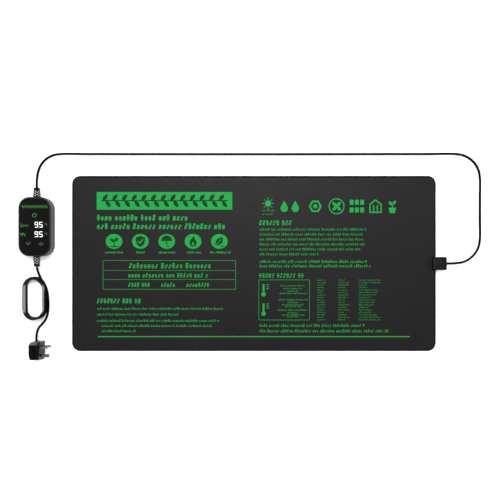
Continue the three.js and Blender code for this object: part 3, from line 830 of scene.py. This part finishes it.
def print_marks(green):
    """A row of plain garden pictograms: sun, drops, nut, leaves in a ring, tray, greenhouse and pot."""
    green.disc(20.5, 87, 0.55 * SUN, 24)
    for angle in range(0, 360, 45):
        green.stroke([polar(20.5, 87, 0.72 * SUN, angle), polar(20.5, 87, SUN, angle)], 1.2)
    green.words(12.5, 31, 77, 2.6, 70)
    green.words(12.5, 29, 71.5, 2.6, 71)
    for x in (44, 60):
        green.polygon([polar(x, 80, DROP, a) for a in range(150, 391, 20)] + [(x, 80 + 2.1 * DROP)])
    green.ring(89, 83, 9.6, 3, 6)
    green.disc(89, 83, 3.4, 6)
    green.ring(120, 83, 11.6, 1.6, 40)
    for i in range(4):
        green.leaf(120, 83, 8.6, 4.4, 45 + 90 * i)
    for y in (85.2, 74):
        for x in (139, 146.6, 154.2):
            green.bar(x, x + 5.6, y, y + 7.2)
    green.stroke([(167.5, 85), (176.5, 92.2), (185.5, 85)], 2)
    green.bar(167.5, 185.5, 73.3, 75.1)
    for i in range(4):
        green.bar(167.5 + 5.4 * i, 169.3 + 5.4 * i, 75.1, 85)
    green.polygon([(197.5, 73), (204.5, 73), (206.5, 81), (195.5, 81)])
    green.bar(200.4, 201.6, 81, 87)
    green.leaf(201, 85, 8, 4, 50)
    green.leaf(201, 84, 8, 4, 130)


def print_right(green):
    print_marks(green)
    green.words(RIGHT_EDGE, 57, 59, 7.6, 40, HEADING, True)
    ends = [163, 159, 161.5, 160.5, 155.5, 94.5]
    for i, x1 in enumerate(ends):
        green.words(8, x1, 49.6 - 7.2 * i, 3.9, 41 + i)
    green.words(8, 165, 2.8, 4.4, 50, 0.62)
    green.words(8, 171, -3.6, 4.4, 51, 0.62)
    green.words(RIGHT_EDGE, 72.7, -17.6, 7, 52, 0.62, True)
    green.frame(6.8, 81, -82.4, -23.6, FINE_LINE)
    for y in (-38.5, -66.5):
        thermometer(green, 14, y)
    rows = [(-32.2, 13), (-36.4, 10), (-40, 6), (-43.4, 14.5), (-52.6, 15.5), (-56.4, 6), (-59.6, 12),
            (-62.4, 8.5), (-67.6, 15.5), (-71.4, 6), (-74.6, 11.5), (-77.2, 6)]
    for i, (y, half) in enumerate(rows):
        green.words(57 - 1.4 * half, 57 + 1.4 * half, y, 2.5, 60 + i)
    for column, (x0, shortest, longest) in enumerate([(92, 8, 13), (122.5, 9, 18), (152, 11, 33)]):
        pick = random.Random(column)
        for i in range(17):
            green.words(x0, x0 + pick.uniform(shortest, longest), -24 - 3.6 * i, 1.9, 100 * column + i, 0.5)
    green.words(8, 161.5, -90, 4.6, 90)
    green.words(8, 197.5, -98, 4.6, 91)


def thermometer(green, x, y):
    """A bulb thermometer with a short scale beside it."""
    green.disc(x, y - 6.4, 3.2, 24)
    green.bar(x - 1.4, x + 1.4, y - 4, y + 8.6)
    for i in range(3):
        green.bar(x + 4, x + 8, y + 1.2 + 3 * i, y + 2.2 + 3 * i)


def print_pictograms(dark, over):
    """Dark pictograms on the five badges: sprout, shield, umbrella, flame and leaf."""
    sprout, shield, umbrella, flame, leaf = ((x, BADGE_Y) for x in BADGES)
    dark.origin = over.origin = sprout
    dark.stroke([(0, -7), (0, 1)], 1.3)
    dark.leaf(0, 0, 8, 4.6, 40)
    dark.leaf(0, -1, 8, 4.6, 140)
    dark.bar(-6, 6, -8.2, -6.8)
    dark.origin = over.origin = shield
    dark.polygon([
        (0, -8.4), (5.2, -4.4), (6.6, 1), (6.6, 5.6), (0, 8), (-6.6, 5.6), (-6.6, 1), (-5.2, -4.4),
    ])
    over.stroke([(-3.4, 0.2), (-0.8, -2.8), (3.8, 3.4)], 1.7)
    dark.origin = over.origin = umbrella
    dark.polygon([polar(0, 0.6, 8, 180 * i / 16) for i in range(17)])
    dark.stroke([(0, 1), (0, -6), (1, -7.6), (2.8, -7.4), (3.4, -5.6)], 1.2)
    dark.origin = over.origin = flame
    dark.polygon([
        (-1, -8), (3, -7), (5.4, -3.6), (4.6, 0.6), (2.4, 3.4), (1.6, 8), (-2, 4.6), (-5, -0.4), (-4.6, -5),
    ])
    over.polygon([(-0.6, -6.6), (1.8, -5), (1.4, -2.6), (0, -0.4), (-2.2, -4)])
    dark.origin = over.origin = leaf
    dark.leaf(-5.6, -6, 16, 8.6, 48)
    over.stroke([(-5, -5.4), (2.6, 3)], 0.9)
    dark.stroke([(2, -7), (7, -7)], 1.3)


def make_print():
    green = Print(mat_height, 0.03)
    print_left(green)
    print_right(green)
    green.piece("mat_print_green", INK_GREEN, "print_green")
    dark = Print(mat_height, 0.07)
    vine(dark, -221, -38, 91, 19, 13)
    over = Print(mat_height, 0.11)
    print_pictograms(dark, over)
    dark.piece("mat_print_dark", INK_DARK, "cover_vinyl")
    over.piece("mat_print_overlay", INK_GREEN, "print_green")


make_print()

# ---- Cable block ----
FOOT_WIDTH = 4.2
RAMP_RUN = 2.4  # how far the block's mat end leans back
PANEL_AT = (2.8, -1.7)  # the panel's ends, in from the block's ends
PANEL_MARGIN = 1.7
BOSSES = [(2.6, 0.6, 4.6, 2.1, 0.5), (4.2, -4.2, 1.5, 1.1, 0.35)]  # x, y, half length, half width, rise
BOSS_STEPS = [(1, -0.3, 0), (1, 0.1, 0), (0.86, 0, 0.75), (0.6, 0, 1), (0.2, 0, 1.1)]


def paint_light_on_faces(piece, chosen, material=PAINTED_LIT_PLASTIC):
    """Gives the faces that chosen(middle in millimetres, normal) picks another, lighter finish: painted light
    or painted highlight on them.
    """
    piece.data.materials.append(material)
    for face in piece.data.polygons:
        if chosen(face.center / MM, face.normal):
            face.material_index = 1


def make_block_top():
    """The upper half: its mat end leans back, and a foot under it fills the mat's notch."""
    low, high = span("entry_block_upper")
    x, y = middle(low, high)
    width, length, top = high.x - low.x, high.y - low.y, high.z
    split = span("entry_block_lower")[1].z + GAP
    rings = []
    for inset, z in [(0.25, split), (0, split + 0.25)] + edge_arc(0.9, top, True):
        ramp = RAMP_RUN * max(0, z - split) / (top - split)
        rings.append(rounded_ring(width - ramp, length, 1.2, inset, z, x + ramp / 2, y, 6))
    foot_profile = edge_arc(0.3, low.z, False, 2) + [(0.0, split + 0.6)]
    foot = rounded_rings(FOOT_WIDTH, length, 0.9, foot_profile, low.x + FOOT_WIDTH / 2, y, 4)
    upper = mesh_object("cable_block_upper", *joined([loft(rings), loft(foot)]))
    finish_piece(upper, BLOCK_BLACK, "black_plastic", ["entry_block_upper"])
    side = high.y - 1.2
    # The leaning mat end's faces, turned to the left, get a lighter plastic: painted light on that side.
    paint_light_on_faces(upper, lambda at, normal: normal.x < -0.6 and abs(at.y) < side and at.z > split, BLOCK_RAMP_LIT)


def make_block_panel():
    """The panel on top of the block, with two lens-shaped bosses."""
    low, high = span("entry_block_upper")
    x, y = middle(low, high)
    left, right, top = low.x + PANEL_AT[0], high.x + PANEL_AT[1], high.z
    width, length = right - left, high.y - low.y - 2 * PANEL_MARGIN
    profile = [(0, top - 0.4), (0, top - 0.05), (0.15, top + 0.1)]
    shapes = [loft(rounded_rings(width, length, 1, profile, (left + right) / 2, y, 4))]
    for boss_x, boss_y, half_long, half_wide, rise in BOSSES:
        shapes.append(loft([
            [(x + boss_x + half_long * grow * px, y + boss_y + half_wide * grow * py, top + up + rise * part)
             for px, py in circle(0, 0, 1, 28)]
            for grow, up, part in BOSS_STEPS
        ]))
    panel = mesh_object("cable_block_panel", *joined(shapes))
    finish_piece(panel, BLOCK_PANEL, "black_plastic", ["entry_block_upper"])


def make_block_bottom():
    low, high = span("entry_block_lower")
    profile = edge_arc(0.6, 0, False) + [(0, high.z - 0.25), (0.25, high.z)]
    size = (high.x - low.x, high.y - low.y)
    rings = rounded_rings(*size, 1.8, profile, *middle(low, high), 6)
    lofted("cable_block_lower", rings, BLOCK_BLACK, "black_plastic", ["entry_block_lower"])


make_block_top()
make_block_panel()
make_block_bottom()

# ---- Thermostat ----
CASE_WALL = 1.8
FACE_LOW, FACE_HIGH = span("face_panel")
FACE_INSET = (CASE_WIDTH - (FACE_HIGH.x - FACE_LOW.x)) / 2
RECESS = FACE_INSET - 0.15
PLATE_TOP = FACE_LOW.z - 0.15
PLATE_BOTTOM = PLATE_TOP - 1.4
KEYS = {  # middle from the case's middle, width, length, corner
    "power": (0.6, 16.7, 10, 10, 5),
    "down": (-8.9, -24.3, 12, 8.4, 3),
    "up": (9.6, -24.3, 12, 8.4, 3),
}
DISPLAY_OPENING = (16.4, 25.9, 0.5, CASE_X + 6.2, CASE_Y - 4.05, 3)  # in the plate under the face
CASE_STEPS = 18
END_HOLE = 4.3  # radius of the holes for the strain reliefs
WELL_RADIUS, WELL_TOP = 2.6, 1.55  # the screws' wells


def case_rings(profile):
    return rounded_rings(CASE_WIDTH, CASE_LENGTH, CASE_CORNER, profile, CASE_X, CASE_Y, CASE_STEPS)


def key_outline(name, grow, steps=10):
    x, y, width, length, corner = KEYS[name]
    return rounded(width + 2 * grow, length + 2 * grow, corner + grow, CASE_X + x, CASE_Y + y, steps)


def end_openings():
    """Round bars that cut the holes for the strain reliefs in both end walls."""
    cutters = []
    for end in (CASE_LOW.y, CASE_HIGH.y):
        outline = circle(CASE_X, CASE_SPLIT, END_HOLE, 32)
        rings = [[(x, end + dy, z) for x, z in outline] for dy in (-6, 6)]
        cutters.append(mesh_object("cutter", *loft(rings)))
    return cutters


def make_shells():
    seam = span("case_front_shell")[0].z
    profile = [(CASE_WALL, PLATE_BOTTOM), (CASE_WALL, seam), (0.2, seam), (0, seam + 0.2)]
    profile += edge_arc(1.2, CASE_TOP, True, 6)
    profile += [(RECESS - 0.1, CASE_TOP), (RECESS, CASE_TOP - 0.1), (RECESS, PLATE_TOP)]
    front = mesh_object("thermostat_front_shell", *loft(case_rings(profile)))
    openings = [key_outline(name, GAP) for name in KEYS] + [rounded(*DISPLAY_OPENING)]
    cutters = [prism(outline, PLATE_BOTTOM - 1, PLATE_TOP + 1) for outline in openings]
    finish_piece(cut_out(front, cutters + end_openings()), FRONT_GREY, "case_front", ["case_front_shell"])

    seam = CASE_HIGH.z
    profile = [(CASE_WALL, CASE_WALL), (CASE_WALL, seam), (0.2, seam), (0, seam - 0.2)]
    profile += reversed(edge_arc(1.6, 0, False, 6))
    rear = mesh_object("thermostat_rear_shell", *loft(case_rings(profile)))
    screws = [middle(*span(f"case_screw_{i}")) for i in (1, 2, 3, 4)]
    wells = [prism(circle(x, y, WELL_RADIUS, 28), -1, WELL_TOP) for x, y in screws]
    finish_piece(cut_out(rear, end_openings() + wells), REAR_GREY, "case_rear", ["case_rear_shell"])


def make_face():
    bottom, top = FACE_LOW.z, FACE_HIGH.z
    profile = [(FACE_INSET, bottom)] + [(FACE_INSET + inset, z) for inset, z in edge_arc(0.3, top, True)]
    face = mesh_object("thermostat_face", *loft(case_rings(profile)))
    cutters = [prism(key_outline(name, GAP), bottom - 1, top + 1) for name in KEYS]
    low, high = span("display_window")
    x, y = middle(low, high)
    width, length = high.x - low.x, high.y - low.y
    cutters.append(prism(rounded(width + 0.3, length + 0.3, 1.65, x, y, 6), bottom - 1, top + 1))
    finish_piece(cut_out(face, cutters), FACE, "face_gloss", ["face_panel"])
    profile = [(0, bottom)] + edge_arc(0.15, top, True, 3)
    rings = rounded_rings(width, length, 1.5, profile, x, y, 6)
    lofted("thermostat_window", rings, WINDOW, "face_gloss", ["display_window"])


def make_key(name):
    """A key cap with its flange and the stem that presses the switch. Its top is slightly dished."""
    low, high = span(f"{name}_key")
    x, y, width, length, corner = KEYS[name]
    cx, cy = CASE_X + x, CASE_Y + y
    flange_bottom, flange_top = low.z + 0.7, low.z + 1.7
    stem = [(3, 3, 1.5, 0, z) for z in (low.z, flange_bottom)]
    flange = [(width + 1.8, length + 1.8, corner + 0.9, 0, z) for z in (flange_bottom, flange_top)]
    cap = [(width, length, corner, inset, z) for inset, z in [(0, flange_top)] + edge_arc(0.25, high.z, True)]
    dish = [(width, length, corner, inset, high.z - drop) for inset, drop in ((0.8, 0.04), (2.2, 0.12))]
    rings = [rounded_ring(w, l, c, inset, z, cx, cy, 8) for w, l, c, inset, z in stem + flange + cap + dish]
    lofted(f"{name}_key_cap", rings, FACE, "face_gloss", [f"{name}_key"], f"{name}_key")


DIGIT_LINE = 1.1
# A segment's outline: which end of its middle line, how far on along it and how far aside, in half lines.
SEGMENT = [(0, -0.9, 0), (0, 0.1, 1), (1, -0.1, 1), (1, 0.9, 0), (1, -0.1, -1), (0, 0.1, -1)]
NINE = (0, 1, 2, 3, 5, 6)
FIVE = (0, 2, 3, 5, 6)
READOUT_X = 6.1
READOUTS = (2.7, -10.8)  # heights of the two read-outs up the face


def digit(ink_print, x, y, width, height, lit_segments):
    """A seven-segment figure. Segments are numbered from the top bar clockwise, with the middle bar last."""
    w, h = (width - DIGIT_LINE) / 2, (height - DIGIT_LINE) / 2
    corners = [(-w, h), (w, h), (w, 0), (w, -h), (-w, -h), (-w, 0), (-w, h)]
    lines = list(zip(corners, corners[1:])) + [((-w, 0), (w, 0))]
    for segment in lit_segments:
        ends = lines[segment]
        (x0, y0), (x1, y1) = ends
        run = hypot(x1 - x0, y1 - y0)
        ux, uy = (x1 - x0) / run * DIGIT_LINE / 2, (y1 - y0) / run * DIGIT_LINE / 2
        ink_print.polygon([
            (x + ends[end][0] + on * ux + aside * uy, y + ends[end][1] + on * uy - aside * ux)
            for end, on, aside in SEGMENT
        ])


def face_height(x, y):
    return FACE_HIGH.z


def make_face_print():
    digits, teal, green = (Print(face_height, 0.02, (CASE_X, CASE_Y)) for _ in range(3))
    for y in READOUTS:
        for aside, figure in ((-3.2, NINE), (3.2, FIVE)):
            digit(digits, READOUT_X + aside, y, 5, 8.1, figure)
        teal.ring(15.2, y + 1.4, 1.1, 0.5, 16)
        teal.bar(16.8, 18, y - 1.6, y + 2.2)
    digits.piece("display_digits", DIGITS, "display_digits")
    teal.piece("face_unit_marks", FACE_TEAL, "print_green")
    vine(green, -18.5, 18.8, 28.6, 5, 10)
    green.origin = (CASE_X - 18.2, CASE_Y + 1.9)
    green.disc(0, -1.2, 1.5, 20)
    green.bar(-0.65, 0.65, -1, 2.6)
    green.words(2, 10.4, 0, 3.2, 7, 0.8)
    green.origin = (CASE_X - 17.6, CASE_Y - 11.5)
    green.stroke([(0, -2.6), (0, 0.8)], 0.8)
    green.leaf(0, 0, 4, 2.4, 40)
    green.leaf(0, -0.6, 4, 2.4, 140)
    green.words(3, 7.4, 0, 4.2, 8, 0.8)
    green.piece("face_print_green", FACE_INK, "print_green")


def make_key_print():
    """The power sign and the two arrows, each riding on its own dished key."""
    for name, (x, y, *_) in KEYS.items():
        mark = Print(face_height, -0.06, (CASE_X + x, CASE_Y + y))
        if name == "power":
            mark.ring(-0.5, -0.3, 3, 0.65, 28, 125, 290)
            mark.bar(-0.8, -0.2, 0.4, 3.4)
        else:
            way = 1 if name == "up" else -1
            mark.stroke([(-3.4, -1.4 * way), (0, 1.6 * way), (3.4, -1.4 * way)], 0.6)
            mark.stroke([(-1.6, -2.2 * way), (1.6, -2.2 * way)], 0.5)
        mark.piece(f"{name}_key_sign", FACE_PALE, "print_green", f"{name}_key")


KNURLS = 6  # diamonds round a strain relief
KNURL_PITCH = 3.3
KNURL_DEPTH = 0.5
KNURL_HIGHLIGHT_FROM = 0.66  # height above which a diamond's top is painted pale as a highlight
RELIEF_SIDES = 104
TAIL_STEPS = 40
TAIL_RADIUS = 4.85
# The collar in the wall and the neck's ring: how far along from the wall or from the start, and the radius.
COLLAR = [(-4.7, 5.4), (-4.5, 5.6), (-2.3, 5.6), (-2.1, 5.4), (-2.1, 4.0), (GAP, 4.0)]
NECK = [(0, 5.0), (0.25, 5.25), (1.3, 5.25), (1.55, 5.0)]


def knurl(angle, along):
    """Height of the raised diamonds on a strain relief, from 0 to 1."""
    turns = KNURLS * angle / (2 * pi)
    first = abs((turns + along / KNURL_PITCH) % 1 - 0.5) * 2
    second = abs((turns - along / KNURL_PITCH) % 1 - 0.5) * 2
    return min(1, 1.6 * first * second)


def relief_sections(start, tail_start, tail_end, reach, tip):
    """The sleeve from its collar to its tip: how far along, the radius and the depth of the diamonds."""
    sections = [(CASE_LENGTH / 2 + along, radius, 0) for along, radius in COLLAR]
    sections += [(start + along, radius, 0) for along, radius in NECK]
    for i in range(TAIL_STEPS + 1):
        part = i / TAIL_STEPS
        fade = min(1, 8 * part, 8 * (1 - part))
        radius = TAIL_RADIUS + (tip - 0.45 - TAIL_RADIUS) * part
        sections.append((tail_start + (tail_end - tail_start) * part, radius, KNURL_DEPTH * fade))
    ends = [(1.3, tip), (0.4, tip), (0.1, tip - 0.25), (0, tip - 0.7), (0, 1.7), (0.8, 1.6)]
    return sections + [(reach - short, radius, 0) for short, radius in ends]


def make_relief(node, way, tip):
    """A moulded sleeve: a collar inside the wall, a neck, and a tapering tail with a diamond pattern."""
    low, high = span(node)
    reach = (high.y - CASE_Y) if way > 0 else (CASE_Y - low.y)
    start = CASE_LENGTH / 2 + GAP
    tail_start, tail_end = start + 1.7, reach - 1.5
    rings = []
    for along, radius, depth in relief_sections(start, tail_start, tail_end, reach, tip):
        ring = []
        for k in range(RELIEF_SIDES):
            angle = 2 * pi * k / RELIEF_SIDES
            r = radius + (depth * knurl(angle, along) if depth else 0)
            ring.append((CASE_X + r * cos(angle), CASE_Y + way * along, CASE_SPLIT + r * sin(angle)))
        rings.append(ring)
    piece = lofted(node.replace("_strain", "_cord"), rings, SLEEVE, "black_plastic", [node], crease=60)

    def highlighted(at, normal):
        angle, along = atan2(at.z - CASE_SPLIT, at.x - CASE_X), way * (at.y - CASE_Y)
        return tail_start - 0.3 < along < tail_end - 2.2 and knurl(angle, along) > KNURL_HIGHLIGHT_FROM

    # The diamonds' tops get the pale plastic: painted highlights on the knurl.
    paint_light_on_faces(piece, highlighted, KNURL_HIGHLIGHT_PLASTIC)


make_shells()
make_face()
for key_name in KEYS:
    make_key(key_name)
make_face_print()
make_key_print()
make_relief("upper_strain_relief", 1, 4.5)
make_relief("lower_strain_relief", -1, 4.1)

# ---- Plug ----


def threes(corners):
    """Each corner of a closed outline between the one before it and the one after it."""
    points = [Vector(corner) for corner in corners]
    return zip(points[-1:] + points[:-1], points, points[1:] + points[:1])


def inset_outline(corners, inset):
    """A convex outline moved inwards, its corners given anticlockwise."""
    moved = []
    for a, b, c in threes(corners):
        before, after = (b - a).normalized(), (c - b).normalized()
        n1, n2 = Vector((-before.y, before.x)), Vector((-after.y, after.x))
        inwards = (n1 + n2).normalized()
        moved.append(b + inwards * inset / max(0.2, inwards.dot(n1)))
    return moved


def soften_outline(corners, radius, steps=5):
    """The same outline with each corner drawn as a short curve."""
    soft = []
    for a, b, c in threes(corners):
        p = b + (a - b).normalized() * min(radius, (a - b).length * 0.45)
        q = b + (c - b).normalized() * min(radius, (c - b).length * 0.45)
        for k in range(steps + 1):
            t = k / steps
            soft.append(p.lerp(b, t).lerp(b.lerp(q, t), t))
    return soft


def soft_prism(corners, radius, edge, z0, z1, between=()):
    profile = edge_arc(edge, z0, False) + [(0, z) for z in between] + edge_arc(edge, z1, True)
    rings = []
    for inset, z in profile:
        outline = soften_outline(inset_outline(corners, inset), max(0.05, radius - inset))
        rings.append([(p.x, p.y, z) for p in outline])
    return loft(rings)


TOP_SLOPE = 3.2
FOOT_SPREAD = 2.6
SLOPE_FROM = 16.5
SLOPE_LENGTH = 7
TAPER_FROM, BACK_TAPER, FRONT_TAPER = -129, 1.7, 1.4


def slope_ends(shape, top, bottom, height):
    """The plug's cord end slopes back above the cord, and its earth end spreads towards the floor."""
    points, faces = shape
    sloped = []
    for x, y, z in points:
        if y > top - SLOPE_LENGTH:
            raised = max(0, (z - SLOPE_FROM) / (height - SLOPE_FROM))
            y -= TOP_SLOPE * raised * (y - top + SLOPE_LENGTH) / SLOPE_LENGTH
        elif y < bottom + SLOPE_LENGTH:
            y -= FOOT_SPREAD * (1 - z / height) * (bottom + SLOPE_LENGTH - y) / SLOPE_LENGTH
        sloped.append((x, y, z))
    return sloped, faces


def plug_half(name, corners, radius, edge, node):
    low, high = span("plug_body")
    shape = soft_prism(corners, radius, edge, 0, high.z, (7, 13, SLOPE_FROM))
    piece = mesh_object(name, *slope_ends(shape, high.y, low.y, high.z))
    return finish_piece(piece, BLACK, "black_plastic", [node])


def make_plug():
    low, high = span("plug_body")
    face_low, face_high = span("plug_face_plate")
    top, bottom = high.y, low.y
    back, seam, front = low.x, face_low.x, face_high.x
    body = [(back, top), (back, TAPER_FROM), (back + BACK_TAPER, bottom), (high.x, bottom), (high.x, top)]
    face = [(seam, top), (seam, bottom), (front - FRONT_TAPER, bottom), (front, TAPER_FROM), (front, top)]
    pieces = [
        plug_half("plug_back", body, 1.3, 0.9, "plug_body"),
        plug_half("plug_front", face, 0.6, 0.6, "plug_face_plate"),
    ]
    # The sloped cord end's upper face gets a lighter plastic: painted light on the face turned towards the
    # lamps.
    paint_light_on_faces(pieces[0], lambda at, normal: normal.y > 0.7 and at.z > SLOPE_FROM)
    for node in ("line_pin", "neutral_pin", "earth_pin"):
        low, high = span(node)
        y, z = (low.y + high.y) / 2, (low.z + high.z) / 2
        wide, tall = high.y - low.y, high.z - low.z
        sections = [(low.x, 0), (high.x - 1.6, 0), (high.x - 0.7, 0.18), (high.x - 0.15, 0.5), (high.x, 0.8)]
        rings = [[(x, y + py, z + pz) for py, pz in rounded(wide - 2 * i, tall - 2 * i, 0.35, 0, 0, 4)]
                 for x, i in sections]
        pieces.append(lofted(node.replace("_pin", "_prong"), rings, PIN_METAL, "pin_metal", [node]))
    return pieces


plug_pieces = make_plug()

# ---- Pieces that keep their CAD shape ----
KEPT_LOOKS = {
    "insulation_pad": FELT, "heating_wire": WIRE, "heat_spreader_foil": FOIL, "sensor_lead": JACKET,
    "circuit_board": BOARD, "upper_display_module": DISPLAY_BODY, "lower_display_module": DISPLAY_BODY,
    "supply_capacitor": FILM, "board_fuse": GLASS, "plug_fuse": GLASS, "upper_cord_clamp": BLACK,
    "lower_cord_clamp": BLACK, "pin_carrier": NYLON, "plug_cord_grip": NYLON,
}
KEPT_LOOKS.update({f"case_screw_{i}": STEEL for i in (1, 2, 3, 4)})
for node_name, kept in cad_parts.items():
    if node_name not in redrawn:
        kept.data.materials.clear()
        kept.data.materials.append(KEPT_LOOKS.get(node_name, COMPONENT))

# ---- Stage ----
FLOOR_RADIUS = 2300
FLOOR_TOP = -0.03  # just under the pieces that stand on it


def make_floor():
    floor = prism(circle(0, 0, FLOOR_RADIUS, 64), -2, FLOOR_TOP, "floor")
    floor.data.materials.append(
        finish("pale_floor", greys(0.93, 0.95), (3, 3), (0.85, 0.95), (20, 3), Specular_IOR_Level=0.1)
    )


def softbox(name, place, wide, tall, power):
    """A rectangular light that faces the mat's centre, its wide side level."""
    light = bpy.data.lights.new(name, "AREA")
    light.shape = "RECTANGLE"
    light.size = wide
    light.size_y = tall
    light.energy = power
    placed(name, light, place).rotation_euler = (-Vector(place)).to_track_quat("-Z", "Y").to_euler()


# Low strips on all sides keep the floor white and leave the upward faces dark. One high strip lifts the back.
LIGHTS = {
    "strip_left": ((-2.6, 0.1, 1.3), 2.6, 1.0, 46),
    "strip_right": ((2.7, 0.1, 1.3), 2.6, 1.0, 46),
    "strip_front": ((0, -2.7, 1.3), 2.6, 1.0, 50),
    "strip_back": ((0, 2.7, 1.3), 2.6, 1.0, 46),
    "high_back": ((0.0, 0.9, 2.1), 0.9, 0.7, 46),
}
SEEN_STRENGTH, ROOM_STRENGTH = 1.1, 0.48


def make_world():
    """White to the camera, dimmer to everything else."""
    world = bpy.data.worlds.new("studio")
    world.use_nodes = True
    nodes, links = world.node_tree.nodes, world.node_tree.links
    nodes.clear()
    mix, out = nodes.new("ShaderNodeMixShader"), nodes.new("ShaderNodeOutputWorld")
    links.new(nodes.new("ShaderNodeLightPath").outputs["Is Camera Ray"], mix.inputs["Fac"])
    for entry, strength in ((1, ROOM_STRENGTH), (2, SEEN_STRENGTH)):
        background = nodes.new("ShaderNodeBackground")
        background.inputs["Color"].default_value = (1, 1, 1, 1)
        background.inputs["Strength"].default_value = strength
        links.new(background.outputs["Background"], mix.inputs[entry])
    links.new(mix.outputs["Shader"], out.inputs["Surface"])
    bpy.context.scene.world = world


make_floor()
for light_name, settings in LIGHTS.items():
    softbox(light_name, *settings)
make_world()
bpy.context.scene.view_settings.view_transform = "Standard"
